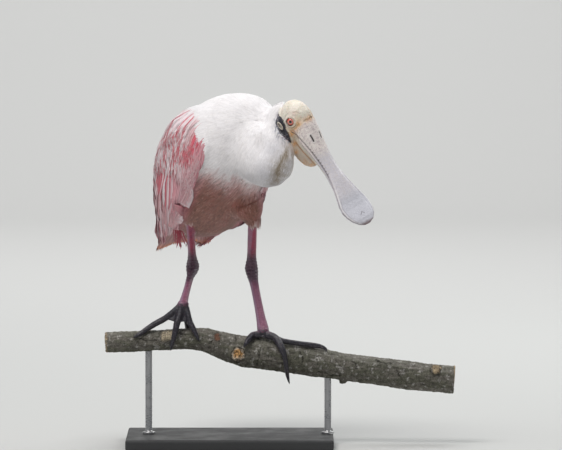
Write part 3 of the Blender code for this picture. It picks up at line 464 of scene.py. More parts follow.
def make_feathers(name, spines, normals, half_width, thickness, template, colours, material,
                  roots_uv, camber=0.12, seed=5, tip_colours=None, edge_colours=None, jitter=0.0, soft=0.5,
                  tip_stretch=(0.25, 1.0)):
    """Many feathers as one mesh. spines and normals are (count, rows, 3); colours is (count, 3)."""
    count, rows, _ = spines.shape
    chance = np.random.default_rng(seed)
    size = len(template["t"])
    t = np.broadcast_to(template["t"], (count, size)).copy()
    frayed = (template["t"] > 0.9)[None, :] * chance.normal(0, jitter, (count, size))
    t = t + frayed
    place = np.clip(t, 0, 1.0) * (rows - 1)
    low = np.clip(place.astype(int), 0, rows - 2)
    share = (t * (rows - 1) - low)[..., None]
    index = np.arange(count)[:, None]
    onward = np.gradient(spines, axis=1)
    centre = spines[index, low] * (1 - share) + spines[index, low + 1] * share
    tangent = unit(onward[index, low] * (1 - share) + onward[index, low + 1] * share)
    normal = normals[index, low] * (1 - share) + normals[index, low + 1] * share
    normal = unit(normal - tangent * (normal * tangent).sum(-1, keepdims=True))
    across = np.cross(tangent, normal)
    s = template["s"][None, :]
    reach = half_width[:, None] * s
    height = thickness * template["h"][None, :] - camber * half_width[:, None] * s**2
    points = centre + across * reach[..., None] + normal * height[..., None]
    faces = (template["faces"][None] + (np.arange(count) * size)[:, None, None]).reshape(-1, 3)
    obj = mesh_object(name, points.reshape(-1, 3), faces, material)
    # Each vane shades mostly as the surface under it does, so that the plumage looks soft.
    slope = (2 * camber * s + thickness * s / half_width[:, None]) * (1 - soft)
    shading = unit(normal + across * slope[..., None]).reshape(-1, 3)
    under = np.tile((template["faces"] >= template["keel"]).any(1), count)
    corners = shading[faces] * np.where(under, -1.0, 1.0)[:, None, None]
    obj.data.normals_split_custom_set(corners.reshape(-1, 3))
    full = np.repeat(colours[:, None, :], size, axis=1)
    if tip_colours is not None:
        full = mix(full, tip_colours[:, None, :], smoothstep(*tip_stretch, t))
    if edge_colours is not None:
        full = mix(full, edge_colours[:, None, :], smoothstep(0.55, 1.0, np.abs(s) + 0 * t))
    paint(obj, full.reshape(-1, 3))
    length = np.linalg.norm(np.diff(spines, axis=1), axis=2).sum(1)
    measures = np.empty((count, size, 3), np.float32)
    measures[..., 0] = reach
    measures[..., 1] = t * length[:, None]
    measures[..., 2] = chance.uniform(0, 1, count)[:, None]
    layer = obj.data.attributes.new("barb", "FLOAT_VECTOR", "POINT")
    layer.data.foreach_set("vector", measures.ravel())
    uv = np.empty((count, size, 2))
    uv[..., 0] = roots_uv[:, None, 0] + BAKE_PATCH * 0.5 * s
    uv[..., 1] = roots_uv[:, None, 1] + BAKE_PATCH * np.clip(t, 0, 1)
    layer = obj.data.uv_layers.new(name="OFBake")
    layer.data.foreach_set("uv", uv.reshape(-1, 2)[faces.ravel()].astype(np.float32).ravel())
    return obj


def scatter(surface, spacing, keep, seed, crowd=4.0):
    """Roots spread over a surface, no two nearer than the spacing at their place. keep says where they grow."""
    chance = np.random.default_rng(seed)
    corners = surface.points[surface.faces]
    middles = corners.mean(1)
    wanted = keep(middles)
    corners = corners[wanted]
    middles = middles[wanted]
    area = np.linalg.norm(np.cross(corners[:, 1] - corners[:, 0], corners[:, 2] - corners[:, 0]), axis=1) / 2
    gaps = spacing(middles)
    weight = area / gaps**2
    total = int(crowd * weight.sum())
    index = chance.choice(len(corners), total, p=weight / weight.sum())
    a, b = chance.uniform(size=(2, total))
    flip = a + b > 1
    a[flip], b[flip] = 1 - a[flip], 1 - b[flip]
    points = (corners[index, 0] * (1 - a - b)[:, None] + corners[index, 1] * a[:, None]
              + corners[index, 2] * b[:, None])
    gaps = gaps[index]
    cell = float(gaps.max())
    cells = {}
    kept = []
    keys = np.floor(points / cell).astype(int).tolist()
    values = points.tolist()
    around = [(i, j, k) for i in (-1, 0, 1) for j in (-1, 0, 1) for k in (-1, 0, 1)]
    for n, ((i, j, k), (x, y, z)) in enumerate(zip(keys, values)):
        limit = gaps[n] ** 2
        clear = True
        for di, dj, dk in around:
            for p, q, r in cells.get((i + di, j + dj, k + dk), ()):
                if (x - p) ** 2 + (y - q) ** 2 + (z - r) ** 2 < limit:
                    clear = False
                    break
            if not clear:
                break
        if clear:
            cells.setdefault((i, j, k), []).append((x, y, z))
            kept.append(n)
    return points[kept]


def lay_down(surface, roots, directions, lengths, rows, depth, rise, bend=None):
    """Spines that start under the surface and follow it to their tips, which lie at rise above it."""
    places, normals = surface.nearest(roots)
    spines = np.empty((len(roots), rows, 3))
    upward = np.empty_like(spines)
    heading = directions - normals * (directions * normals).sum(1, keepdims=True)
    heading = unit(heading)
    for k in range(rows):
        t = k / (rows - 1)
        lift = -depth * (1 - t) ** 1.6 + rise * t
        spines[:, k] = places + normals * np.asarray(lift).reshape(-1, 1)
        upward[:, k] = normals
        if k == rows - 1:
            break
        ahead = places + heading * (lengths / (rows - 1))[:, None]
        places, normals = surface.nearest(ahead)
        if bend is not None:
            heading = heading + bend / (rows - 1)
        heading = unit(heading - normals * (heading * normals).sum(1, keepdims=True))
    return spines, upward


def closed_up(name, points, faces, voxel, reach, rounds):
    """A smooth skin whose creases narrower than twice the reach are filled."""
    obj = melted(name, points, faces, voxel, 2)
    set_points(obj, mesh_points(obj) + point_normals(obj) * reach)
    co = mesh_points(obj)
    obj.data.calc_loop_triangles()
    triangles = np.empty(len(obj.data.loop_triangles) * 3, int)
    obj.data.loop_triangles.foreach_get("vertices", triangles)
    bpy.data.objects.remove(obj)
    obj = melted(name, co, triangles.reshape(-1, 3), voxel, 3)
    set_points(obj, mesh_points(obj) - point_normals(obj) * reach)
    set_points(obj, relaxed(mesh_points(obj), mesh_edges(obj), rounds))
    return obj


def make_camera():
    data = bpy.data.cameras.new("camera")
    camera = bpy.data.objects.new("camera", data)
    bpy.context.scene.collection.objects.link(camera)
    look = Vector((0, math.cos(CAMERA_DROP), -math.sin(CAMERA_DROP)))
    camera.location = CAMERA_TARGET - look * CAMERA_DISTANCE
    camera.rotation_euler = look.to_track_quat("-Z", "Y").to_euler()
    data.lens = CAMERA_LENS
    data.sensor_width = CAMERA_SENSOR
    data.clip_start, data.clip_end = CAMERA_CLIP
    bpy.context.scene.camera = camera


def make_stage():
    """A pale floor that curves up into a backdrop."""
    steps = [(-FLOOR_RADIUS, 0.0)]
    for i in range(STAGE_STEPS + 1):
        angle = math.pi / 2 * i / STAGE_STEPS
        steps.append((BACKDROP_DISTANCE - STAGE_BEND * (1 - math.sin(angle)), STAGE_BEND * (1 - math.cos(angle))))
    steps.append((BACKDROP_DISTANCE, BACKDROP_HEIGHT))
    points, faces = [], []
    for y, z in steps:
        points += [(-FLOOR_RADIUS, y, z), (FLOOR_RADIUS, y, z)]
    for i in range(len(steps) - 1):
        faces.append((2 * i, 2 * i + 1, 2 * i + 3, 2 * i + 2))
    made, tree, shader = new_material("stage", 0.9, STAGE_COLOUR)
    mesh_object("stage", np.array(points), np.array(faces), made)


def make_lights():
    world = bpy.data.worlds.new("world")
    world.use_nodes = True
    background = world.node_tree.nodes["Background"]
    background.inputs[0].default_value = (*WORLD_COLOUR, 1.0)
    background.inputs[1].default_value = WORLD_STRENGTH
    bpy.context.scene.world = world
    for name, place, size, power, colour, aim in LIGHTS:
        data = bpy.data.lights.new(name, "AREA")
        data.size = size
        data.energy = power
        data.color = colour
        lamp = bpy.data.objects.new(name, data)
        bpy.context.scene.collection.objects.link(lamp)
        lamp.location = place
        lamp.rotation_euler = (Vector(aim) - Vector(place)).to_track_quat("-Z", "Y").to_euler()
    bpy.context.scene.view_settings.view_transform = "Standard"
    bpy.context.scene.view_settings.look = "None"


# Plumage colours.
WHITE = (0.90, 0.87, 0.885)
WARM_WHITE = (0.84, 0.79, 0.76)
STAIN = (0.225, 0.155, 0.070)
BLUSH = (0.56, 0.33, 0.32)
BELLY = (0.285, 0.118, 0.086)
BELLY_DEEP = (0.32, 0.070, 0.066)
PALE_PINK = (0.68, 0.320, 0.350)
ROSE = (0.60, 0.205, 0.260)
CRIMSON = (0.64, 0.032, 0.080)
TAWNY = (0.84, 0.33, 0.15)
STREAK_WHITE = (0.92, 0.79, 0.83)

CLOUDS = Waves(0.030, 3)
SPECKS = Waves(0.007, 4)

# The white upper breast ends at this height on the middle line, and lower towards the bird's left.
# Below it are the places of stains on the neck, as pixels of the photograph: a dark streak down the
# bulge, and paler dirt round it.
BREAST_LINE = 0.392
BREAST_SLOPE = 0.28
STAIN_STREAK = ((287.4, 149.0), (284.0, 156.5), (279.4, 165.0), (277.0, 174.0), (276.0, 183.0))
STAIN_CLOUD = ((285.0, 157.0, 8.0, 0.8), (280.0, 170.0, 9.5, 0.85), (286.0, 176.0, 7.0, 0.7),
               (272.0, 180.0, 7.0, 0.55))
# Places on the neck's shaded side, as pixels of the photograph, where painted shade greys the white feathers.
NECK_SHADE_SPOTS = ((274.0, 150.0, 12.0, 0.7), (266.0, 172.0, 14.0, 0.65), (280.0, 136.0, 8.0, 0.5),
              (272.0, 190.0, 14.0, 0.85), (252.0, 182.0, 12.0, 0.45))

# Middle of the neck from the nape to the shoulders, the way that its feathers lie.
NECK_RUN = np.array((
    (0.0850, -0.0980, 0.4930), (0.0750, -0.0910, 0.4868), (0.0690, -0.0920, 0.4730),
    (0.0675, -0.0990, 0.4560), (0.0695, -0.1120, 0.4380), (0.0695, -0.1220, 0.4170),
    (0.0550, -0.1150, 0.4090), (0.0350, -0.0920, 0.4270), (0.0150, -0.0660, 0.4450),
    (0.0000, -0.0420, 0.4560),
))
NECK_HEADINGS = np.array((
    (-0.5, 0.3, -0.8), (-0.4, 0.2, -0.9), (-0.1, -0.1, -1.0), (0.0, -0.35, -0.9), (0.0, -0.4, -0.9),
    (-0.3, 0.0, -0.95), (-0.6, 0.2, -0.8), (-0.5, 0.3, -0.8), (-0.4, 0.4, -0.8), (-0.3, 0.5, -0.7),
))
NECK_BLEND = 0.016
NECK_FRONT = -0.10

LEG_POINTS = {
    "right": {"knee": (-0.0600, -0.0270, 0.3640), "cuff": (-0.0577, -0.0010, 0.3215),
              "hock": (-0.0550, 0.0800, 0.2530), "ankle": (-0.0680, -0.0060, 0.2055)},
    "left": {"knee": (0.0220, -0.0340, 0.3620), "cuff": (0.0365, -0.0180, 0.3180),
             "hock": (0.0308, 0.0340, 0.2540), "ankle": (0.0484, -0.0060, 0.1670)},
}
TIBIA_RADIUS = {"right": 0.0058, "left": 0.0067}
FOLD_STEP, SCALE_STEP = 0.0046, 0.0034

FLESH = ("torso", "neck", "head", "thigh_right", "thigh_left",
         "leg_right", "leg_left", "foot_right", "foot_left")
BARE = ("head", "leg_right", "leg_left", "foot_right", "foot_left")
COVERED = ("torso", "neck", "thigh_right", "thigh_left")
COAT_DEPTH = 0.0027
SKIN_VOXEL = 0.00085


def body_colours(points):
    """Markings of the body, the same for the skin and for the feathers on it."""
    along, side, up = to_body(points).T
    angle = np.degrees(np.arctan2(np.abs(side), up))
    clouds, specks = CLOUDS(points), SPECKS(points)
    colours = mix(WHITE, WARM_WHITE, 0.25 * smoothstep(0.0, 1.6, clouds + specks))
    height = points[:, 2] + BREAST_SLOPE * np.clip(points[:, 0], -0.04, 0.04) + 0.004 * clouds + 0.003 * specks
    under = smoothstep(BREAST_LINE + 0.010, BREAST_LINE - 0.014, height) * smoothstep(60, 95, angle)
    rear = smoothstep(0.03, -0.05, along + 0.010 * clouds) * smoothstep(30, 70, angle)
    belly = mix(BELLY, BELLY_DEEP, smoothstep(-0.2, 1.4, clouds) * 0.40)
    belly = mix(belly, np.array(BELLY) * 0.62, smoothstep(0.1, 1.5, specks - 0.5 * clouds) * 0.8)
    belly = mix(belly, (0.45, 0.24, 0.20), smoothstep(0.3, 1.5, specks + 0.6 * clouds) * 0.45)
    # The belly is rosiest along the lower edges of the wings, with painted shade in the groove right below them.
    rosy = smoothstep(152, 138, angle) * smoothstep(0.10, 0.02, along)
    belly = mix(belly, ROSE, np.maximum(rosy * 0.75, smoothstep(-0.075, -0.135, along) * 0.25))
    belly = mix(BLUSH, belly, smoothstep(BREAST_LINE - 0.002, BREAST_LINE - 0.034, height))
    colours = mix(colours, belly, np.maximum(under, rear))
    # Painted shade in the groove under each wing's lower edge.
    groove = np.exp(-(((angle - 141) / 2.0) ** 2)) * smoothstep(0.09, 0.05, along) * smoothstep(-0.08, -0.04, along)
    colours = mix(colours, (0.20, 0.055, 0.065), groove * 0.7)
    rump = smoothstep(-0.05, -0.12, along) * smoothstep(75, 40, angle)
    return mix(colours, mix(ROSE, CRIMSON, 0.5 * smoothstep(-0.5, 1, clouds)), rump * 0.85)


def neck_colours(points):
    clouds, specks = CLOUDS(points), SPECKS(points)
    colours = mix(WHITE, WARM_WHITE, 0.3 * smoothstep(0.0, 1.6, clouds + specks))
    pixels = seen(points, mirrored=False)
    streak = smoothstep(3.6, 0.4, line_gap(pixels, STAIN_STREAK) + 1.1 * specks)
    cloud = spots(pixels, STAIN_CLOUD) * smoothstep(-1.0, 0.9, specks + 0.7 * clouds)
    front = points[:, 1] < NECK_FRONT
    # Painted shade, grey-lilac, on the neck's shaded front.
    colours = mix(colours, (0.50, 0.49, 0.53), spots(pixels, NECK_SHADE_SPOTS) * front)
    colours = mix(colours, STAIN, np.maximum(0.9 * streak, cloud) * front)
    # Slate feathers are mixed in where the plumage meets the band on the nape.
    gap = hairline(points)
    fringe = smoothstep(-4.0, -0.4, gap) * smoothstep(-0.5, 0.8, specks) * smoothstep(111, 116, pixels[:, 1])
    return mix(colours, (0.27, 0.27, 0.34), 0.8 * fringe * smoothstep(146, 140, pixels[:, 1]))


SURFACES = {}


def gap_to(names, points):
    """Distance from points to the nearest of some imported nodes."""
    if names not in SURFACES:
        SURFACES[names] = Surface(*node_mesh(names))
    return SURFACES[names].distance(points)


def plumage_colours(points):
    """Body and neck markings, by which of the two is nearer."""
    neck = smoothstep(0.003, -0.003, gap_to(("neck",), points) - gap_to(("torso",), points))
    return mix(body_colours(points), neck_colours(points), neck)


def make_bed():
    """The smooth outline that the feathers' tips reach."""
    points, faces = node_mesh(COVERED + ("wing_right", "wing_left"))
    bed = closed_up("bed", points, faces, 0.0028, 0.0080, 8)
    # The corner where each wing meets the back is rounded off.
    co = mesh_points(bed)
    _, side, up = to_body(co).T
    corner = smoothstep(0.025, 0.040, np.abs(side)) * smoothstep(0.030, 0.050, up)
    set_points(bed, mix(co, relaxed(co, mesh_edges(bed), 14, False), corner))
    surface = SmoothSurface(bed)
    bpy.data.objects.remove(bed)
    return surface


class WingSurface:
    """The bed as a distance from the body's middle line, by place along it and angle round it."""

    ALONG = np.linspace(0.126, -0.262, 98)
    ANGLE = np.linspace(0.0, 158.0, 80)
    START = 0.16

    def __init__(self, side):
        self.side = side
        tree = Surface(*node_mesh(("torso", "wing_right" if side > 0 else "wing_left"))).tree
        radius = np.full((len(self.ALONG), len(self.ANGLE)), np.nan)
        for i, along in enumerate(self.ALONG):
            for j, angle in enumerate(self.ANGLE):
                out = self.outward(angle)
                start = from_body((along, 0, 0)) + out * self.START
                gap = tree.ray_cast(start.tolist(), (-out).tolist(), self.START)[3]
                if gap is not None:
                    radius[i, j] = self.START - gap
        found = ~np.isnan(radius)
        filled = np.where(found, radius, np.nanmin(radius))
        for _ in range(400):
            filled = np.where(found, filled, self.around(filled))
        for _ in range(6):
            filled = (filled + self.around(filled)) / 2
        self.radius = filled

    @staticmethod
    def around(grid):
        padded = np.pad(grid, 1, mode="edge")
        return (padded[:-2, 1:-1] + padded[2:, 1:-1] + padded[1:-1, :-2] + padded[1:-1, 2:]) / 4

    def outward(self, angle):
        turn = np.radians(angle)
        return np.cos(turn)[..., None] * UP + self.side * np.sin(turn)[..., None] * RIGHT

    def reach(self, along, angle):
        row = np.clip((along - self.ALONG[0]) / (self.ALONG[1] - self.ALONG[0]), 0, len(self.ALONG) - 1.001)
        column = np.clip(angle / (self.ANGLE[1] - self.ANGLE[0]), 0, len(self.ANGLE) - 1.001)
        i, j = row.astype(int), column.astype(int)
        a, b = row - i, column - j
        r = self.radius
        return ((r[i, j] * (1 - b) + r[i, j + 1] * b) * (1 - a)
                + (r[i + 1, j] * (1 - b) + r[i + 1, j + 1] * b) * a)

    def bare_point(self, along, angle):
        out = self.reach(along, angle)[..., None] * self.outward(angle)
        return np.array(BODY_CENTRE) + along[..., None] * FORWARD + out

    def point(self, along, angle, lift):
        """Places and normals at a lift over the surface."""
        along, angle, lift = np.broadcast_arrays(*(np.asarray(v, float) for v in (along, angle, lift)))
        place = self.bare_point(along, angle)
        by_along = self.bare_point(along - 0.004, angle) - self.bare_point(along + 0.004, angle)
        by_angle = self.bare_point(along, angle + 2.5) - self.bare_point(along, np.maximum(angle - 2.5, 0))
        normal = unit(np.cross(by_along, by_angle))
        normal = normal * np.sign((normal * self.outward(angle)).sum(-1, keepdims=True))
        return place + normal * lift[..., None], normal

    def run(self, along, angle, length, rows, share=1.0):
        """Places along and round the body of feathers that sweep back and down the flank."""
        alongs, angles = [along], [angle]
        for _ in range(rows - 1):
            sweep = share * WING_SWEEP * smoothstep(-0.10, 0.02, along)
            sweep = sweep * smoothstep(139, 112, angle) * smoothstep(15, 60, angle)
            slope = np.radians(sweep) * self.reach(along, angle)
            step = length / (rows - 1) / np.sqrt(1 + slope**2)
            along = along - step
            angle = angle + sweep * step
            alongs.append(along)
            angles.append(angle)
        return np.stack(alongs, 1), np.stack(angles, 1)

    def core(self):
        """A closed mass under the feathers: points and triangles."""
        along = np.linspace(0.108, -0.130, 34)[:, None]
        angle = np.linspace(44.0, 130.0, 30)[None, :]
        # Its lower and rear edges lie deeper, so that they don't show past the feathers.
        deeper = np.maximum(smoothstep(106, 130, angle), smoothstep(-0.05, -0.13, along))
        outer, _ = self.point(along, angle, -0.0075 - 0.0115 * deeper)
        middle = np.array(BODY_CENTRE) + along[..., None] * FORWARD
        inner = middle + (outer - middle) * 0.45
        rows, columns = outer.shape[:2]
        points = np.concatenate([outer.reshape(-1, 3), inner.reshape(-1, 3)])
        number = np.arange(rows * columns).reshape(rows, columns)
        quads = []
        for shift, order in ((0, 1), (rows * columns, -1)):
            n = number + shift
            quads.append(np.stack([n[:-1, :-1], n[:-1, 1:], n[1:, 1:], n[1:, :-1]], -1).reshape(-1, 4)[:, ::order])
        rim = np.concatenate([number[0, :-1], number[:-1, -1], number[-1, :0:-1], number[:0:-1, 0]])
        after = np.roll(rim, -1)
        quads.append(np.stack([after, rim, rim + rows * columns, after + rows * columns], 1))
        quads = np.concatenate(quads)
        return points, np.concatenate([quads[:, :3], quads[:, [0, 2, 3]]])


WING_SWEEP = 470.0
STREAK_STEEPNESS = 2.0


def polar_unwrap(points):
    """The skin opened out like a fan from the breast, by distance back and angle round."""
    along, side, up = to_body(points).T
    angle = np.arctan2(side, up)
    reach = 0.5 * np.clip((UNWRAP_FRONT - along) / UNWRAP_LENGTH, 0, 1)
    return 0.5 + np.stack([reach * np.cos(angle), reach * np.sin(angle)], 1)


UNWRAP_FRONT = 0.20
UNWRAP_LENGTH = 0.50
# The body's feathers fan out from a place inside the neck, and lie back and down.
FLOW_START = np.array((0.062, -0.100, 0.456))
BODY_FLOW = -0.20 * FORWARD + np.array((0.0, 0.0, -0.20))


def flow(points, neck_share, thigh_share):
    """The way that the body's feathers lie."""
    runs = unit(NECK_HEADINGS)
    gap = np.linalg.norm(points[:, None] - NECK_RUN[None], axis=2)
    weight = np.exp(-((gap - gap.min(1, keepdims=True)) / NECK_BLEND) ** 2)
    neck = unit((weight[..., None] * runs[None]).sum(1))
    thigh = np.zeros_like(points)
    for leg in LEG_POINTS.values():
        knee, cuff = np.array(leg["knee"]), np.array(leg["cuff"])
        near = np.exp(-(np.linalg.norm(points - (knee + cuff) / 2, axis=1) / 0.03) ** 2)
        thigh += near[:, None] * unit(cuff - knee)
    body = unit(unit(points - FLOW_START) + BODY_FLOW)
    mixed = body * (1 - neck_share)[:, None] + neck * neck_share[:, None]
    return unit(mixed * (1 - thigh_share)[:, None] + unit(thigh) * thigh_share[:, None])


def blended(points, vectors, neighbours, rounds):
    """Directions averaged over each point's neighbours."""
    tree = KDTree(len(points))
    for i, point in enumerate(points):
        tree.insert(point, i)
    tree.balance()
    near = np.array([[n for _, n, _ in tree.find_n(point, neighbours)] for point in points])
    for _ in range(rounds):
        vectors = unit(vectors[near].mean(1))
    return vectors


def ready(obj, slot, *replaced):
    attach(obj, "root")
    if replaced:
        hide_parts(*replaced)
    return obj


def wing_top(along):
    """Angle round the body above which the back's own feathers cover the wing."""
    return np.interp(along, (-0.12, -0.05, 0.09, 0.122), (12, 18, 40, 64))


def wing_bottom(along):
    return np.interp(along, (-0.05, 0.0, 0.09, 0.122), (138, 137, 134, 112))


def make_body_coat(bed, materials):
    """The small feathers of neck, breast, back, belly and thighs."""
    def neckness(points, width):
        return smoothstep(width, -width, gap_to(("neck",), points) - gap_to(("torso",), points))

    def thighness(points):
        thighs = gap_to(("thigh_right", "thigh_left"), points)
        return smoothstep(0.010, -0.010, thighs - gap_to(("torso",), points))

    def spacing(points):
        return 0.0016 - 0.0001 * neckness(points, 0.004)

    def grows(points):
        along, side, up = to_body(points).T
        angle = np.degrees(np.arctan2(np.abs(side), up))
        low_edge = wing_bottom(along) - 4 + 9 * smoothstep(0.07, 0.05, along)
        winged = (angle > wing_top(along) + 7) & (angle < low_edge) & (along < 0.108)
        bare = hairline(points) > 0
        return ~winged & (along > -0.172) & ~bare

    roots = scatter(bed, spacing, grows, 7)
    chance = np.random.default_rng(8)
    neck_share, thigh_share = neckness(roots, 0.014), thighness(roots)
    headings = blended(roots, flow(roots, neck_share, thigh_share), 40, 3)
    headings = headings + chance.normal(0, 0.05, (len(roots), 3))
    lengths = mix([0.0150], [0.0120], neck_share)[:, 0] * chance.uniform(0.85, 1.15, len(roots))
    spines, normals = lay_down(bed, roots, headings, lengths, 4, 0.0027, -0.0017)
    # A plume whose path jumps between two parts of the bed is left out.
    steps = np.linalg.norm(np.diff(spines, axis=1), axis=2).max(1)
    steady = (steps < 1.5 * lengths / 3) & ((normals[:, 0] * normals[:, -1]).sum(1) > 0.3)
    roots, spines, normals = roots[steady], spines[steady], normals[steady]
    neck_share, thigh_share = neck_share[steady], thigh_share[steady]
    count = len(roots)
    widths = mix([0.0016], [0.0013], neck_share)[:, 0] * chance.uniform(0.8, 1.2, count)
    spines += normals * chance.normal(0, 0.00008, (count, 1, 1))
    colours, tips = plumage_colours(roots), plumage_colours(spines[:, -1])
    # Pink feathers differ from each other more than white ones.
    pinkness = smoothstep(0.15, 0.45, 1 - tips[:, 1] / tips[:, 0])
    luck = chance.uniform(-1, 1, count)
    colours = colours * (0.95 + 0.06 * luck + 0.14 * luck * pinkness)[:, None]
    tips = tips * (1.0 + 0.05 * luck + 0.20 * luck * pinkness)[:, None]
    tips = mix(tips, (0.50, 0.30, 0.27), pinkness * smoothstep(0.80, 1.0, luck) * 0.6)
    uv = polar_unwrap(roots)
    plume = vane_template(4, 3, 0.14, PLUME)
    up = to_body(roots)[:, 2]
    rest = neck_share <= 0.5
    parts = {
        "coat_neck": ~rest,
        "coat_thighs": rest & (thigh_share > 0.5),
        "coat_back": rest & (thigh_share <= 0.5) & (up > 0.02),
        "coat_belly": rest & (thigh_share <= 0.5) & (up <= 0.02),
    }
    for name, chosen in parts.items():
        obj = make_feathers(name, spines[chosen], normals[chosen], widths[chosen], 0.0003, plume,
                            colours[chosen], materials["down"], uv[chosen], camber=0.07, jitter=0.06,
                            tip_colours=tips[chosen], soft=0.8)
        ready(obj, "pink_feather" if name == "coat_belly" else "white_feather")
        print(name, chosen.sum(), len(obj.data.polygons))


# Wing feathers, from the innermost tier out: name, how many; for the uppermost and the lowest feather
# of the tier root along, length and root angle; then half width, lift and share of the sweep.
WING_TIERS = (
    ("primaries", 8, (-0.050, -0.045), (0.200, 0.165), (58.0, 106.0), 0.0092, -0.0038, 0.30),
    ("secondaries", 22, (-0.035, -0.008), (0.205, 0.136), (24.0, 135.0), 0.0076, -0.0026, 0.55),
    ("great_coverts", 27, (0.006, 0.038), (0.158, 0.118), (20.0, 136.0), 0.0064, -0.0016, 0.75),
    ("middle_coverts", 32, (0.040, 0.066), (0.100, 0.104), (24.0, 135.0), 0.0052, -0.0008, 0.95),
)


def wing_colours(along, angle, luck):
    """Colour of a wing feather by the place of its middle, with its own luck."""
    streaky = smoothstep(122, 98, angle) * smoothstep(40, 58, angle) * smoothstep(-0.040, 0.005, along)
    streaky = streaky * np.maximum(smoothstep(0.098, 0.086, along), smoothstep(78, 70, angle))
    patch = smoothstep(92, 99, angle) * smoothstep(120, 109, angle) * smoothstep(0.058, 0.078, along)
    back = smoothstep(68, 44, angle)
    warm = smoothstep(100, 120, angle) * smoothstep(-0.03, 0.02, along)
    pale = mix(PALE_PINK, STREAK_WHITE, smoothstep(0.60, 1.0, luck) * 0.6)
    colours = mix(pale, ROSE, smoothstep(0.40, 0.0, luck) * 0.6)
    colours = mix(colours, ROSE, warm * 0.45)
    colours = mix(colours, WHITE, back * 0.75)
    striped = np.where((luck < 0.50)[..., None], CRIMSON, STREAK_WHITE)
    colours = mix(colours, striped, streaky * 0.85)
    deep = np.where((luck < 0.75)[..., None], CRIMSON, ROSE)
    return mix(colours, deep, patch)


def make_wing(side, surface, materials):
    name = "right" if side > 0 else "left"
    chance = np.random.default_rng(21 if side > 0 else 22)
    flight = vane_template(16, 7, 0.045, FLIGHT, 3)
    rows = 14
    t = np.linspace(0, 1, rows)[None, :]
    for tier, count, roots, lengths, root_angles, half_width, lift, sweep in WING_TIERS:
        share = np.linspace(0, 1, count)
        root, length, angle = (ends[0] + (ends[1] - ends[0]) * share for ends in (roots, lengths, root_angles))
        length = length * chance.uniform(0.96, 1.05, count)
        angle = angle + chance.uniform(-0.8, 0.8, count)
        along, angle = surface.run(root, angle, length, rows, sweep)
        raised = lift - 0.0030 * (1 - t) ** 2 + 0.0006 * (1 - share[:, None])
        spines, normals = surface.point(along, angle, raised)
        across = unit(np.cross(np.gradient(spines, axis=1), normals))
        normals = unit(normals + across * 0.12 * side)
        colours = wing_colours(along.mean(1), angle.mean(1), chance.uniform(0, 1, count))
        edges = mix(colours, STREAK_WHITE, 0.4)
        obj = make_feathers(f"{tier}_{name}", spines, normals, half_width * chance.uniform(0.93, 1.1, count),
                            0.0005, flight, colours, materials["vane"], polar_unwrap(spines[:, 0]),
                            edge_colours=edges, camber=0.06, jitter=0.006, soft=0.7)
        if tier == "secondaries":
            ready(obj, "pink_feather", "wing_" + name)
        else:
            ready(obj, "pink_feather")
    # Lesser coverts and scapulars: narrow pointed feathers on the shoulder and the wing's upper part.
    drawn = 5200
    along = chance.uniform(-0.050, 0.112, drawn)
    angle = chance.uniform(12, 139, drawn)
    wanted = (angle < wing_bottom(along) + 1) & (angle > wing_top(along) + 1)
    wanted &= along > 0.050 - 0.075 * smoothstep(108, 55, angle)
    along, angle = along[wanted], angle[wanted]
    count = len(along)
    length = mix([0.026], [0.046], smoothstep(75, 30, angle))[:, 0] * chance.uniform(0.75, 1.25, count)
    rows = 5
    t = np.linspace(0, 1, rows)[None, :]
    lift = -0.0018 * (1 - t) + 0.0006 * t + chance.uniform(-0.0005, 0.0005, (count, 1))
    turn = chance.normal(0, 2.0, (count, 1))
    alongs, angles = surface.run(along, angle, length, rows, STREAK_STEEPNESS)
    spines, normals = surface.point(alongs, angles + turn * t, lift)
    across = np.radians(angle + STREAK_STEEPNESS * WING_SWEEP * along) * 0.044
    luck = smoothstep(-1.1, 1.1, STREAKS(np.stack([along * 0.5, across, along * 0], 1)))
    luck = np.clip(luck + chance.normal(0, 0.12, count), 0, 1)
    colours = wing_colours(alongs[:, 2], angles[:, 2], luck)
    widths = mix([0.0023], [0.0014], smoothstep(112, 84, angle))[:, 0] * chance.uniform(0.75, 1.25, count)
    obj = make_feathers(f"lesser_coverts_{name}", spines, normals, widths, 0.0004,
                        vane_template(5, 3, 0.08, COVERT), colours, materials["vane"],
                        polar_unwrap(spines[:, 0]), camber=0.08, jitter=0.03, soft=0.75)
    ready(obj, "pink_feather")
    print("coverts", count)
    # The lowest long feathers of the folded wing, which close its lower edge.
    count, rows = 6, 14
    t, number = np.linspace(0, 1, rows)[None, :], np.arange(count)[:, None]
    alongs = 0.082 - 0.004 * number - (0.140 - 0.006 * number) * t
    angles = 121.0 + 2.8 * number + (17.0 - 2.0 * number) * smoothstep(0.0, 0.40, t)
    spines, normals = surface.point(alongs, angles, -0.0020 * (1 - t) ** 2 + 0.0014)
    colours = mix(PALE_PINK, STREAK_WHITE, (0.15, 0.4, 0.2, 0.5, 0.3, 0.75))
    obj = make_feathers(f"low_coverts_{name}", spines, normals, np.full(count, 0.0044), 0.0005, flight, colours,
                        materials["vane"], polar_unwrap(spines[:, 0]), camber=0.06, jitter=0.006, soft=0.7,
                        edge_colours=mix(colours, STREAK_WHITE, 0.6))
    ready(obj, "pink_feather")


STREAKS = Waves(0.012, 9)

# How far back the tail feathers reach, from the left one over the middle to the right one.
TAIL_TIPS = (-0.210, -0.220, -0.227)


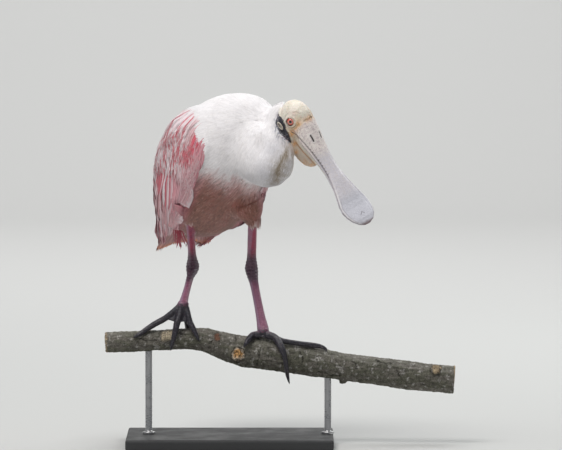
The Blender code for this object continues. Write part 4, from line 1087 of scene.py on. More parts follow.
def make_tail(materials):
    chance = np.random.default_rng(31)
    count = 12
    rows = 12
    t = np.linspace(0, 1, rows)[None, :]
    share = np.linspace(-1, 1, count)[:, None]
    tip = np.interp(share, (-1, 0, 1), TAIL_TIPS) + chance.uniform(-0.002, 0.002, (count, 1))
    along = -0.122 + (tip + 0.122) * t
    across = share * (0.014 + (0.036 - 0.014) * t)
    up = 0.0028 * (1 - 1.5 * np.abs(share)) * t - 0.006 * share**2 * t - 0.003
    spines = from_body(np.stack(np.broadcast_arrays(along, across, up), axis=-1))
    normals = np.broadcast_to(UP, spines.shape) + 0.12 * share[..., None] * RIGHT
    colours = mix((0.62, 0.33, 0.33), BELLY, chance.uniform(0, 0.5, count))
    tips = mix(TAWNY, ROSE, chance.uniform(0, 0.4, count))
    obj = make_feathers("tail_feathers", spines, unit(normals), np.full(count, 0.0075), 0.0008,
                        vane_template(14, 7, 0.04, FLIGHT, 4), colours, materials["vane"],
                        polar_unwrap(spines[:, 0]), tip_colours=tips, tip_stretch=(0.80, 0.97),
                        edge_colours=mix(colours, STREAK_WHITE, 0.15), jitter=0.005, soft=0.2)
    ready(obj, "tail_feather", "tail")
    # Coverts over and under the root of the tail; the ones under it hang in loose crimson strands.
    for name, drawn, height, falls, low_colour in (
        ("coverts_over_tail", 260, 0.006, 0.004, CRIMSON), ("coverts_under_tail", 320, -0.010, -0.012, BELLY)
    ):
        along = chance.uniform(-0.165, -0.095, drawn)
        side = chance.uniform(-1, 1, drawn) * 0.028
        length = chance.uniform(0.028, 0.050, drawn)
        t = np.linspace(0, 1, 5)[None, :]
        onward = along[:, None] - length[:, None] * t
        up = height + (along[:, None] + 0.165) * falls / 0.05 * (1 - 0.5 * t) + chance.uniform(-0.001, 0.001, (drawn, 1))
        up = np.where(onward < -0.16, np.sign(height) * 0.002 + up * 0.3, up)
        spines = from_body(np.stack(np.broadcast_arrays(onward, side[:, None], up), axis=-1))
        normals = np.broadcast_to(UP * np.sign(height), spines.shape)
        colours = mix(low_colour, PALE_PINK, chance.uniform(0, 0.6, drawn))
        obj = make_feathers(name, spines, normals, chance.uniform(0.0025, 0.004, drawn), 0.0006,
                            vane_template(5, 3, 0.10, COVERT), colours, materials["vane"],
                            polar_unwrap(spines[:, 0]), jitter=0.03)
        ready(obj, "pink_feather")


def make_strands(materials):
    """Loose crimson feathers below the root of the tail, and ragged ends of the thigh feathers."""
    chance = np.random.default_rng(41)
    roots, tips, colours, widths = [], [], [], []
    for side, drawn, shortest in ((1, 15, 0.60), (-1, 6, 0.20)):
        for _ in range(drawn):
            spread = chance.normal(0, 1, 3)
            roots.append((-0.092, side * (0.040 + 0.005 * spread[0]), -0.039 + 0.002 * spread[1]))
            reach = chance.uniform(shortest, shortest + 0.42)
            tip = (-0.092 - 0.078 * reach, side * (0.021 + 0.006 * spread[2]), -0.032 - 0.006 * reach)
            tips.append(tip)
            colours.append(mix(CRIMSON, ROSE, chance.uniform(0, 0.35)) * 0.75)
            widths.append(chance.uniform(0.0006, 0.0013))
    t = np.linspace(0, 1, 7)[None, :, None]
    roots, tips = np.array(roots)[:, None], np.array(tips)[:, None]
    local = roots + (tips - roots) * t
    local[..., 2:] -= 0.006 * np.sin(np.pi * t)
    spines = from_body(local)
    normals = np.broadcast_to(-UP - 0.4 * FORWARD, spines.shape)
    obj = make_feathers("strands_under_tail", spines, unit(normals), np.array(widths), 0.0006,
                        vane_template(7, 3, 0.10, COVERT), np.array(colours), materials["down"],
                        polar_unwrap(spines[:, 0]), jitter=0.02)
    ready(obj, "pink_feather")
    for name, leg in LEG_POINTS.items():
        knee, cuff, hock = (np.array(leg[key]) for key in ("knee", "cuff", "hock"))
        down = unit(cuff - knee) * 0.6 + unit(hock - cuff) * 0.4
        count = 150
        turn = chance.uniform(0, 2 * math.pi, count)
        first = unit(np.cross(down, (0, 0, 1.0)))
        second = unit(np.cross(down, first))
        out = np.cos(turn)[:, None] * first + np.sin(turn)[:, None] * second
        start = cuff - down * chance.uniform(0.014, 0.027, (count, 1))
        length = chance.uniform(0.010, 0.018, (count, 1, 1))
        t = np.linspace(0, 1, 4)[None, :, None]
        radius = TIBIA_RADIUS[name] + 0.0046 - 0.0034 * t
        spines = start[:, None] + out[:, None] * radius + down * length * t
        normals = np.repeat(out[:, None], 4, axis=1)
        colours = mix(BELLY, BLUSH, chance.uniform(0.1, 0.9, count))
        tips = mix(BLUSH, WARM_WHITE, chance.uniform(0, 0.9, count))
        obj = make_feathers("cuff_" + name, spines, normals, chance.uniform(0.0012, 0.0022, count), 0.0005,
                            vane_template(4, 3, 0.14, PLUME), colours, materials["down"],
                            polar_unwrap(spines[:, 0]), tip_colours=tips, jitter=0.06, soft=0.7)
        ready(obj, "white_feather")


# Places on the head as pixels of the photograph, found again on the model by the camera's own view.
# The far side of the head takes its markings from the near side.
PIXEL = CAMERA_SENSOR / CAMERA_LENS / 562
PICTURE_MIDDLE = (281.0, 225.0)
EYE_PIXEL = (290.0, 122.0)
NAPE_BAND = (
    (278.5, 112.4), (279.5, 115.6), (282.7, 118.8), (283.8, 122.0), (285.7, 125.7), (286.1, 129.8),
    (288.7, 133.0), (290.0, 136.7), (291.5, 141.8), (290.7, 144.7), (287.7, 141.3), (283.6, 138.1),
    (280.4, 134.9), (277.9, 131.6), (275.8, 130.3), (274.0, 126.1), (274.9, 121.5), (276.7, 117.9),
    (277.4, 114.2),
)
HAIRLINE = (
    (287.0, 92.0), (284.0, 101.0), (280.2, 107.0), (278.6, 111.5), (277.2, 116.0), (275.6, 121.0),
    (275.2, 126.0), (277.2, 130.8), (280.4, 134.9), (283.8, 138.4), (288.2, 142.2), (290.8, 147.0),
    (291.0, 151.0), (292.5, 155.0), (294.5, 160.0), (296.0, 166.0), (297.0, 175.0),
)
GAPE_LINE = ((291.6, 132.2), (293.7, 133.0), (296.5, 134.9), (299.2, 138.5))
LOWER_LID = ((287.6, 126.2), (289.4, 127.6), (291.9, 127.9), (294.6, 126.6), (296.0, 124.8))
UPPER_LID = ((287.3, 117.8), (289.4, 116.7), (291.6, 117.1), (293.6, 118.8), (295.2, 121.2))
FOREHEAD_CREASE = ((303.6, 121.4), (305.6, 119.8), (308.6, 119.2), (313.5, 116.6))
CHEEK_FOLDS = (
    ((286.6, 129.4), (289.4, 130.6), (292.5, 130.2)), ((296.6, 121.6), (298.8, 123.6), (300.2, 126.4)),
    ((294.6, 137.0), (295.4, 141.0), (297.4, 145.2)), ((298.6, 128.2), (297.4, 131.0), (297.6, 133.2)),
    ((292.6, 112.6), (296.4, 112.2), (300.2, 113.8)), ((288.6, 112.9), (286.0, 115.4), (284.9, 118.6)),
    ((300.4, 117.2), (302.6, 118.8), (303.6, 121.4)),
)
EAR_TONGUE = ((279.8, 124.8), (281.4, 128.2))
NOSTRIL_LINE = ((310.7, 135.6), (312.4, 138.4), (313.9, 141.3))
NAIL_MARK = ((361.6, 211.6), (361.2, 214.2))
TAN_SPOTS = (
    (291.0, 133.0, 4.6, 0.95), (298.5, 124.8, 3.6, 0.85), (294.2, 143.6, 3.4, 0.85), (296.0, 128.4, 4.4, 0.65),
    (307.0, 119.4, 3.2, 0.85), (312.5, 117.4, 2.8, 0.75), (291.8, 126.8, 3.2, 0.5), (304.4, 165.0, 5.0, 0.65),
    (296.0, 152.0, 2.8, 0.65), (311.0, 166.0, 4.0, 0.6), (299.0, 160.0, 3.0, 0.55),
)
PINK_SPOTS = ((294.0, 113.6, 2.6, 0.4), (289.0, 116.2, 2.0, 0.3), (301.0, 122.0, 2.0, 0.35))


def seen(points, mirrored=True):
    """Pixels where the camera sees points; those of the head's far side count as on the near side."""
    if mirrored:
        local = to_head(points)
        local[:, 1] = np.abs(local[:, 1])
        points = from_head(local)
    look = np.array((0, math.cos(CAMERA_DROP), -math.sin(CAMERA_DROP)))
    upward = np.array((0, math.sin(CAMERA_DROP), math.cos(CAMERA_DROP)))
    offset = points - (np.array(CAMERA_TARGET) - look * CAMERA_DISTANCE)
    depth = offset @ look
    return np.stack([PICTURE_MIDDLE[0] + offset[:, 0] / depth / PIXEL,
                     PICTURE_MIDDLE[1] - (offset @ upward) / depth / PIXEL], 1)


def line_gap(pixels, line):
    """Distance in pixels to a line of several stretches."""
    best = np.full(len(pixels), np.inf)
    for a, b in zip(np.array(line[:-1]), np.array(line[1:])):
        along = np.clip((pixels - a) @ (b - a) / ((b - a) @ (b - a)), 0, 1)
        best = np.minimum(best, np.linalg.norm(pixels - (a + along[:, None] * (b - a)), axis=1))
    return best


def inside_gap(pixels, outline):
    """Signed distance in pixels to a closed outline, below zero inside it."""
    inside = np.zeros(len(pixels), bool)
    x, y = pixels.T
    for (ax, ay), (bx, by) in zip(outline, outline[1:] + outline[:1]):
        crosses = (ay > y) != (by > y)
        inside ^= crosses & (x < (bx - ax) * (y - ay) / (by - ay + 1e-12) + ax)
    gap = line_gap(pixels, outline + outline[:1])
    return np.where(inside, -gap, gap)


def spots(pixels, places):
    total = np.zeros(len(pixels))
    for x, y, radius, strength in places:
        total = np.maximum(total, strength * np.exp(-((pixels[:, 0] - x) ** 2 + (pixels[:, 1] - y) ** 2) / radius**2))
    return total


def hairline(points):
    """Above zero on the bare head, in front of the line where the neck's feathers end."""
    pixels = seen(points)
    line = np.array(HAIRLINE)
    edge = np.interp(pixels[:, 1], line[:, 1], line[:, 0])
    far = np.linalg.norm(to_head(points), axis=1) > 0.062
    return np.where(far, -10.0, pixels[:, 0] - edge)


HEAD_CLOUDS = Waves(0.011, 51)
HEAD_WRINKLES = Waves(0.0040, 52, octaves=2)
HEAD_PITS = Waves(0.0019, 53, octaves=2)

CREAM = (0.90, 0.83, 0.73)
OLIVE = (0.60, 0.54, 0.42)
TAN = (0.80, 0.44, 0.19)
PINK_SKIN = (0.74, 0.48, 0.42)
POUCH = (0.66, 0.57, 0.48)
SLATE = (0.036, 0.034, 0.046)
TIBIA_PINK = (0.36, 0.055, 0.105)
HOCK_DARK = (0.120, 0.074, 0.108)
TARSUS_PINK = (0.27, 0.105, 0.175)
FOOT_SLATE = (0.026, 0.023, 0.031)
BILL_SKIN = (0.88, 0.79, 0.76)

# Where the skin of the forehead and the corner of the mouth ends and the horn of the bill begins.
BILL_START = ((286.0, 134.0), (292.5, 131.0), (296.0, 128.8), (300.0, 126.2), (304.5, 121.8), (308.5, 119.8),
              (313.0, 117.8), (320.0, 116.0))


def on_bill(points):
    """One where the skin of the head is the horny base of the bill, zero on the face and the pouch."""
    pixels = seen(points)
    rough = 0.7 * HEAD_CLOUDS(points) + 0.4 * HEAD_PITS(points)
    start, gape = np.array(BILL_START), np.array(GAPE_LINE)
    below_start = pixels[:, 1] - np.interp(pixels[:, 0], start[:, 0], start[:, 1]) + rough
    above_gape = np.interp(pixels[:, 0], gape[:, 0], gape[:, 1]) - pixels[:, 1]
    return smoothstep(-0.9, 0.9, below_start) * smoothstep(-0.4, 0.3, above_gape)


def horn_colours(points):
    """Colours of the bill's base: pinkish grey, with darker mottles and flecks."""
    big, small = HORN_MOTTLE(points), HORN_FLECK(points)
    colours = mix(BILL_SKIN, (0.92, 0.87, 0.82), 0.5 * smoothstep(0.0, 1.2, big))
    colours = mix(colours, (0.50, 0.41, 0.43), 0.50 * smoothstep(-0.1, -1.1, big))
    return mix(colours, (0.26, 0.20, 0.22), 0.6 * smoothstep(0.95, 1.35, small))


HORN_MOTTLE, HORN_FLECK = Waves(0.0048, 71, octaves=2), Waves(0.0021, 72, octaves=2)


def head_colours(points):
    pixels = seen(points)
    clouds, wrinkles, pits = HEAD_CLOUDS(points), HEAD_WRINKLES(points), HEAD_PITS(points)
    colours = mix(CREAM, OLIVE, 0.35 * smoothstep(-0.5, 1.3, clouds))
    colours = mix(colours, OLIVE, 0.40 * smoothstep(0.16, 0.02, np.abs(wrinkles)))
    colours = mix(colours, (0.40, 0.34, 0.24), 0.35 * smoothstep(0.7, 1.3, pits))
    from_lore = np.hypot(pixels[:, 0] - 297, pixels[:, 1] - 128)
    colours = mix(colours, (0.84, 0.62, 0.40), 0.45 * smoothstep(15.0, 7.0, from_lore))
    below = smoothstep(130, 140, pixels[:, 1]) * smoothstep(290, 296, pixels[:, 0])
    colours = mix(colours, POUCH, below * 0.85)
    colours = mix(colours, (0.92, 0.86, 0.75), 0.85 * smoothstep(1.7, 0.7, line_gap(pixels, JAW_STRIP)))
    colours = mix(colours, (0.50, 0.24, 0.10), 0.75 * smoothstep(0.9, 0.25, line_gap(pixels, JAW_EDGE)))
    colours = mix(colours, horn_colours(points), on_bill(points))
    colours = mix(colours, PINK_SKIN, spots(pixels, PINK_SPOTS))
    colours = mix(colours, TAN, np.clip(spots(pixels, TAN_SPOTS) * (0.85 + 0.35 * clouds), 0, 1))
    gap = np.linalg.norm(pixels - np.array(EYE_PIXEL), axis=1)
    colours = mix(colours, CREAM, 0.7 * smoothstep(1.4, 0.4, np.abs(gap - 5.0)))
    colours = mix(colours, (0.40, 0.22, 0.14), 0.75 * smoothstep(0.6, 0.1, np.abs(gap - 3.9)))
    # Painted shade darkens the corner of the mouth, the lids' edges and the forehead's crease, along the lines that
    # head_relief sinks.
    for line, width, shade in ((GAPE_LINE, 0.75, 0.85), (LOWER_LID, 0.6, 0.5), (UPPER_LID, 0.6, 0.4),
                               (FOREHEAD_CREASE, 0.9, 0.55)):
        colours = mix(colours, (0.22, 0.12, 0.08), shade * smoothstep(width, 0.15, line_gap(pixels, line)))
    # Painted shade darkens the cheek folds that head_relief sinks.
    for line in CHEEK_FOLDS:
        colours = mix(colours, (0.40, 0.27, 0.17), 0.40 * smoothstep(0.55, 0.1, line_gap(pixels, line)))
    near = np.linalg.norm(to_head(points), axis=1) < 0.062
    band = inside_gap(pixels + 0.35 * np.stack([pits, wrinkles], 1), NAPE_BAND)
    slate = mix(SLATE, (0.20, 0.19, 0.23), smoothstep(0.5, 1.6, pits) * 0.6)
    flecks = smoothstep(0.75, 1.1, HEAD_PITS(points * 0.8 + 0.01)) * smoothstep(131, 136, pixels[:, 1])
    flecks = flecks * smoothstep(289.5, 286, pixels[:, 0])
    slate = mix(slate, (0.62, 0.60, 0.66), flecks * 0.8)
    slate = mix(slate, CREAM, 0.7 * smoothstep(0.9, 0.3, line_gap(pixels, EAR_TONGUE)))
    # The band's rear edge is mottled with pale feathers, its front edge is sharp with a thin pale rim.
    edge = np.interp(pixels[:, 1], np.array(HAIRLINE)[:, 1], np.array(HAIRLINE)[:, 0])
    mottled = smoothstep(2.6, 0.3, pixels[:, 0] - edge + 0.8 * wrinkles) * smoothstep(-0.2, 0.7, pits)
    slate = mix(slate, (0.50, 0.49, 0.56), 0.8 * mottled)
    colours = mix(colours, (0.84, 0.80, 0.71), 0.7 * smoothstep(0.6, 0.1, np.abs(band - 0.9)) * near)
    return mix(colours, slate, smoothstep(0.35, -0.35, band) * near)


def leg_colours(points):
    """Shank, heel joint and foot, by height down each leg."""
    colours = np.empty((len(points), 3))
    nearest = np.full(len(points), np.inf)
    wrinkles, pits, clouds = HEAD_WRINKLES(points), HEAD_PITS(points), HEAD_CLOUDS(points)
    for leg in LEG_POINTS.values():
        cuff, hock, ankle = (np.array(leg[key]) for key in ("cuff", "hock", "ankle"))
        gap = np.minimum(line_gap3(points, (cuff, hock)), line_gap3(points, (hock, ankle)))
        high = points[:, 2] - hock[2] + 0.0012 * wrinkles
        foot = smoothstep(0.007, -0.004, points[:, 2] - ankle[2] - 0.002 * wrinkles)
        shank = mix(TIBIA_PINK, TARSUS_PINK, smoothstep(0.006, -0.006, high))
        scales = np.sin(high * 2 * math.pi / SCALE_STEP + 0.5 * wrinkles)
        shank = mix(shank, (0.52, 0.23, 0.29), 0.55 * smoothstep(0.3, 0.95, scales) * smoothstep(-0.4, 0.6, pits))
        shank = mix(shank, (0.20, 0.06, 0.12), 0.50 * smoothstep(0.0, -1.1, clouds))
        # Painted highlight: the side that faces the light is painted a paler lilac.
        middle = np.interp(points[:, 2], *np.array([leg[key] for key in ("ankle", "hock", "cuff")])[:, (2, 0)].T)
        shank = mix(shank, (0.50, 0.36, 0.50), 0.40 * smoothstep(0.0015, 0.0042, middle - points[:, 0]))
        dark = smoothstep(0.034, 0.012, high) * smoothstep(-0.024, -0.012, high)
        folds = np.sin(high * 2 * math.pi / FOLD_STEP + 0.8 * wrinkles)
        # The heel joint's own colour is dark; painted shade darkens its fold troughs and painted highlight lightens
        # the crests, along the folds of leg_relief.
        joint = mix(HOCK_DARK, (0.022, 0.014, 0.022), 0.85 * smoothstep(-0.1, -0.9, folds))
        joint = mix(joint, (0.24, 0.16, 0.22), 0.55 * smoothstep(0.3, 1.0, folds) * smoothstep(-0.6, 0.6, pits))
        shank = mix(shank, joint, dark * 0.93)
        slate = mix(FOOT_SLATE, (0.11, 0.100, 0.120), 0.60 * smoothstep(0.2, 1.3, wrinkles + pits))
        # Painted shade darkens the creases that leg_relief sinks into the toes.
        slate = mix(slate, (0.012, 0.010, 0.014), 0.7 * smoothstep(0.16, 0.03, np.abs(wrinkles - 0.2)))
        shank = mix(shank, slate, foot)
        closer = gap < nearest
        colours[closer] = shank[closer]
        nearest = np.minimum(nearest, gap)
    return colours


def line_gap3(points, ends):
    a, b = ends
    along = np.clip((points - a) @ (b - a) / ((b - a) @ (b - a)), 0, 1)
    return np.linalg.norm(points - (a + along[:, None] * (b - a)), axis=1)


def head_relief(points):
    """How far the skin of the head stands in or out."""
    pixels = seen(points)
    out = 0.00012 * HEAD_WRINKLES(points) + 0.00007 * HEAD_PITS(points)
    gap = np.linalg.norm(pixels - np.array(EYE_PIXEL), axis=1)
    out += 0.00045 * np.exp(-((gap - 5.0) / 0.8) ** 2) - 0.00025 * np.exp(-((gap - 6.4) / 0.6) ** 2)
    for line, depth, width in ((GAPE_LINE, 0.0009, 0.55), (LOWER_LID, 0.0004, 0.45), (UPPER_LID, 0.0004, 0.45),
                               (FOREHEAD_CREASE, 0.0006, 0.8)):
        out -= depth * np.exp(-((line_gap(pixels, line) / width) ** 2))
    for line in CHEEK_FOLDS:
        out -= 0.00035 * np.exp(-((line_gap(pixels, line) / 0.5) ** 2))
    return out


def leg_relief(points):
    """Folds of the heel joint and scales down the shanks."""
    out = np.zeros(len(points))
    for leg in LEG_POINTS.values():
        hock, ankle = np.array(leg["hock"]), np.array(leg["ankle"])
        near = (line_gap3(points, (hock, ankle)) < 0.02) | (line_gap3(points, (np.array(leg["cuff"]), hock)) < 0.02)
        high = points[:, 2] - hock[2]
        folds = np.sin(high * 2 * math.pi / FOLD_STEP + 0.8 * HEAD_WRINKLES(points))
        joint = smoothstep(0.022, 0.010, high) * smoothstep(-0.018, -0.009, high)
        scales = np.sin(high * 2 * math.pi / SCALE_STEP + 0.5 * HEAD_WRINKLES(points))
        shank = smoothstep(-0.008, -0.014, high) * smoothstep(0.0, 0.006, points[:, 2] - ankle[2])
        toes = smoothstep(0.004, -0.004, points[:, 2] - ankle[2])
        creases = np.exp(-(((HEAD_WRINKLES(points) - 0.2) / 0.12) ** 2))
        out += near * (0.00042 * folds * joint + 0.00016 * scales * shank) - 0.5 * 0.0004 * creases * toes
    return out + 0.00012 * HEAD_PITS(points)


def skin_material():
    made, tree, shader = new_material("skin", 0.52, None, Specular_IOR_Level=0.42,
                                      Subsurface_Weight=0.06, Subsurface_Scale=0.004)
    paint_layer = add_node(tree, "ShaderNodeAttribute", attribute_name="Col")
    place = place_socket(tree)
    fine = noise(tree, 1500.0, 3.0, place)
    cells = add_node(tree, "ShaderNodeTexVoronoi", {"Scale": 900.0, "Randomness": 0.9},
                     feature="DISTANCE_TO_EDGE")
    tree.links.new(place, cells.inputs["Vector"])
    seams = ramp(tree, cells.outputs["Distance"], 0.0, 0.16, 0.92, 1.02)
    value = maths(tree, "MULTIPLY", seams, ramp(tree, fine, 0.3, 0.7, 0.88, 1.08))
    brighter = add_node(tree, "ShaderNodeHueSaturation", {"Color": paint_layer.outputs["Color"], "Value": value})
    tree.links.new(brighter.outputs[0], shader.inputs["Base Color"])
    # Dark scaly skin of heel joints and feet shines more than the pale skin of the face.
    lightness = add_node(tree, "ShaderNodeRGBToBW", {0: paint_layer.outputs["Color"]}).outputs[0]
    shine = ramp(tree, lightness, 0.03, 0.40, 0.30, 0.48)
    tree.links.new(maths(tree, "ADD", shine, ramp(tree, fine, 0.3, 0.7, 0.0, 0.12)), shader.inputs["Roughness"])
    height = maths(tree, "ADD", ramp(tree, cells.outputs["Distance"], 0.0, 0.2, 0.0, 0.6), fine)
    bump(tree, shader, height, 0.35, 0.0003)
    return made


def make_skin(cores, materials):
    points, faces = node_mesh(FLESH)
    for more_points, more_faces in cores:
        faces = np.vstack([faces, more_faces + len(points)])
        points = np.vstack([points, more_points])
    skin = melted("skin", points, faces, SKIN_VOXEL, 6)
    co = mesh_points(skin)
    covered = gap_to(COVERED + ("wing_right", "wing_left"), co)
    coat = smoothstep(-0.001, 0.006, gap_to(BARE, co) - covered)
    coat = np.maximum(coat, smoothstep(0.5, -1.5, hairline(co)) * (gap_to(("head",), co) < 0.003))
    legs = gap_to(BARE[1:], co) < 0.002
    head = (gap_to(("head",), co) < 0.002) & ~legs
    relief = np.where(head, head_relief(co), 0.0) + np.where(legs, leg_relief(co), 0.0)
    wings = gap_to(("wing_right", "wing_left"), co) < covered + 0.0001
    sink = COAT_DEPTH * coat * np.where(wings, 0.3, 1.0)
    set_points(skin, co + point_normals(skin) * (relief * (1 - coat) - sink)[:, None])
    group = skin.vertex_groups.new(name="coat")
    group.add(np.nonzero(coat > 0.98)[0].tolist(), 1.0, "REPLACE")
    fewer = skin.modifiers.new("Decimate", "DECIMATE")
    fewer.ratio = 0.45
    fewer.vertex_group = "coat"
    fewer.vertex_group_factor = 10.0
    apply_modifiers(skin)
    co = mesh_points(skin)
    body = plumage_colours(co)
    along, side, up = to_body(co).T
    angle = np.degrees(np.arctan2(np.abs(side), up))
    winged = smoothstep(-3, 3, angle - wing_top(along)) * smoothstep(3, -3, angle - wing_bottom(along))
    winged = winged * smoothstep(0.12, 0.11, along)
    body = mix(body, wing_colours(along, angle, np.full(len(co), 0.35)), winged)
    head = smoothstep(-0.4, 0.4, hairline(co)) * (gap_to(("head",), co) < 0.004)
    body = mix(body, head_colours(co), head)
    legs = smoothstep(0.0015, 0.0005, gap_to(BARE[1:], co) - np.minimum(gap_to(COVERED, co), 0.01))
    paint(skin, mix(body, leg_colours(co), legs))
    skin.data.materials.append(materials["skin"])
    print("skin", len(skin.data.polygons))
    return ready(skin, "head_skin", *FLESH)


# Eyes: middle, radius, and the way that the near one looks.
EYE_PLACE = (-0.0205, 0.0150, 0.0042)
EYE_RADIUS = 0.0070
EYE_LOOK = (0.174, 0.814, 0.552)
IRIS_REACH = 0.0049
PUPIL_REACH = 0.0021


def make_eyes():
    made, tree, shader = new_material("eye", 0.10, None, Coat_Weight=1.0, Coat_Roughness=0.03)
    paint_layer = add_node(tree, "ShaderNodeAttribute", attribute_name="Col")
    fine = noise(tree, 2600.0, 3.0, place_socket(tree))
    brighter = add_node(tree, "ShaderNodeHueSaturation",
                        {"Color": paint_layer.outputs["Color"], "Value": ramp(tree, fine, 0.3, 0.7, 0.85, 1.12)})
    tree.links.new(brighter.outputs[0], shader.inputs["Base Color"])
    streaks = Waves(0.0016, 61)
    for name, side in (("right", 1), ("left", -1)):
        centre = from_head((EYE_PLACE[0], side * EYE_PLACE[1], EYE_PLACE[2]))
        look = unit(np.array((EYE_LOOK[0], side * EYE_LOOK[1], EYE_LOOK[2])) @ HEAD)
        ball = bmesh.new()
        bmesh.ops.create_icosphere(ball, subdivisions=5, radius=EYE_RADIUS)
        mesh = bpy.data.meshes.new("eyeball_" + name)
        ball.to_mesh(mesh)
        ball.free()
        obj = bpy.data.objects.new("eyeball_" + name, mesh)
        bpy.context.scene.collection.objects.link(obj)
        local = mesh_points(obj)
        ahead = local @ look
        wide = np.sqrt(np.maximum(EYE_RADIUS**2 - ahead**2, 0))
        wide = np.where(ahead > 0, wide, 0.01)
        # The clear front of the eye bulges a little.
        local = local + look * (0.0004 * smoothstep(0.0042, 0.0010, wide))[:, None]
        streak = streaks(local)
        colours = mix((0.80, 0.085, 0.030), (0.78, 0.20, 0.06), smoothstep(-0.8, 0.8, streak))
        colours = mix(colours, (0.80, 0.10, 0.12), smoothstep(0.0, 0.004, local @ HEAD[2]) * 0.6)
        ring = smoothstep(0.0006, 0.0001, np.abs(wide - PUPIL_REACH - 0.0004))
        colours = mix(colours, (0.60, 0.46, 0.42), 0.75 * ring)
        colours = mix(colours, (0.16, 0.02, 0.015), smoothstep(IRIS_REACH - 0.0009, IRIS_REACH, wide))
        colours = mix(colours, (0.004, 0.004, 0.005), smoothstep(PUPIL_REACH + 0.0002, PUPIL_REACH - 0.0002, wide))
        set_points(obj, local + centre)
        paint(obj, colours)
        mesh.materials.append(made)
        mesh.shade_smooth()
        ready(obj, "iris", "eye_" + name)


def make_ears(materials):
    for name in ("right", "left"):
        ear = melted("earring_" + name, *node_mesh(("ear_" + name,)), 0.00035, 3)
        co = mesh_points(ear)
        rough = HEAD_PITS(co)
        paint(ear, mix((0.66, 0.60, 0.50), (0.44, 0.38, 0.33), smoothstep(-0.2, 1.2, rough)))
        set_points(ear, co + point_normals(ear) * (0.00008 * rough)[:, None])
        ear.data.materials.append(materials["skin"])
        ready(ear, "ear_skin", "ear_" + name)


BILL_WIDTHS = ((-0.016, 0.0178), (0.000, 0.0177), (0.014, 0.0165), (0.030, 0.0144), (0.052, 0.0120),
               (0.074, 0.0123), (0.085, 0.0151), (0.095, 0.0172), (0.112, 0.0223), (0.127, 0.0270),
               (0.140, 0.0264), (0.151, 0.0218), (0.1585, 0.0138), (0.1620, 0.0048))
SPOON_MIDDLE = (0.1441, -0.0014)
JAW_STAND_OUT = 0.0018
LILAC_GREY = (0.70, 0.665, 0.71)
BILL_CREAM = (0.74, 0.66, 0.59)
BILL_DARK = (0.18, 0.145, 0.17)
MOUTH_SHADE = (0.014, 0.010, 0.014)
# The pale edge of the lower jaw below the mouth line, and the orange line where the pouch begins.
JAW_STRIP = ((297.5, 140.5), (301.0, 145.5), (305.2, 150.5), (309.8, 155.3), (315.6, 161.7), (319.3, 166.6),
             (324.8, 174.8))
JAW_EDGE = ((295.8, 142.2), (299.4, 147.2), (303.4, 152.2), (308.2, 157.2), (314.0, 163.6), (317.7, 168.4),
            (323.1, 176.4))


def bill_material():
    made, tree, shader = new_material("bill", 0.38, None, Specular_IOR_Level=0.45)
    paint_layer = add_node(tree, "ShaderNodeAttribute", attribute_name="Col")
    place = place_socket(tree)
    fine = noise(tree, 900.0, 4.0, place)
    grain = noise(tree, 1.0, 3.0, scaled(tree, place, (420.0, 420.0, 160.0)))
    value = maths(tree, "MULTIPLY", ramp(tree, fine, 0.3, 0.7, 0.93, 1.05), ramp(tree, grain, 0.3, 0.7, 0.95, 1.04))
    brighter = add_node(tree, "ShaderNodeHueSaturation", {"Color": paint_layer.outputs["Color"], "Value": value})
    tree.links.new(brighter.outputs[0], shader.inputs["Base Color"])
    tree.links.new(ramp(tree, grain, 0.3, 0.7, 0.30, 0.48), shader.inputs["Roughness"])
    bump(tree, shader, maths(tree, "ADD", fine, grain), 0.25, 0.0003)
    return made


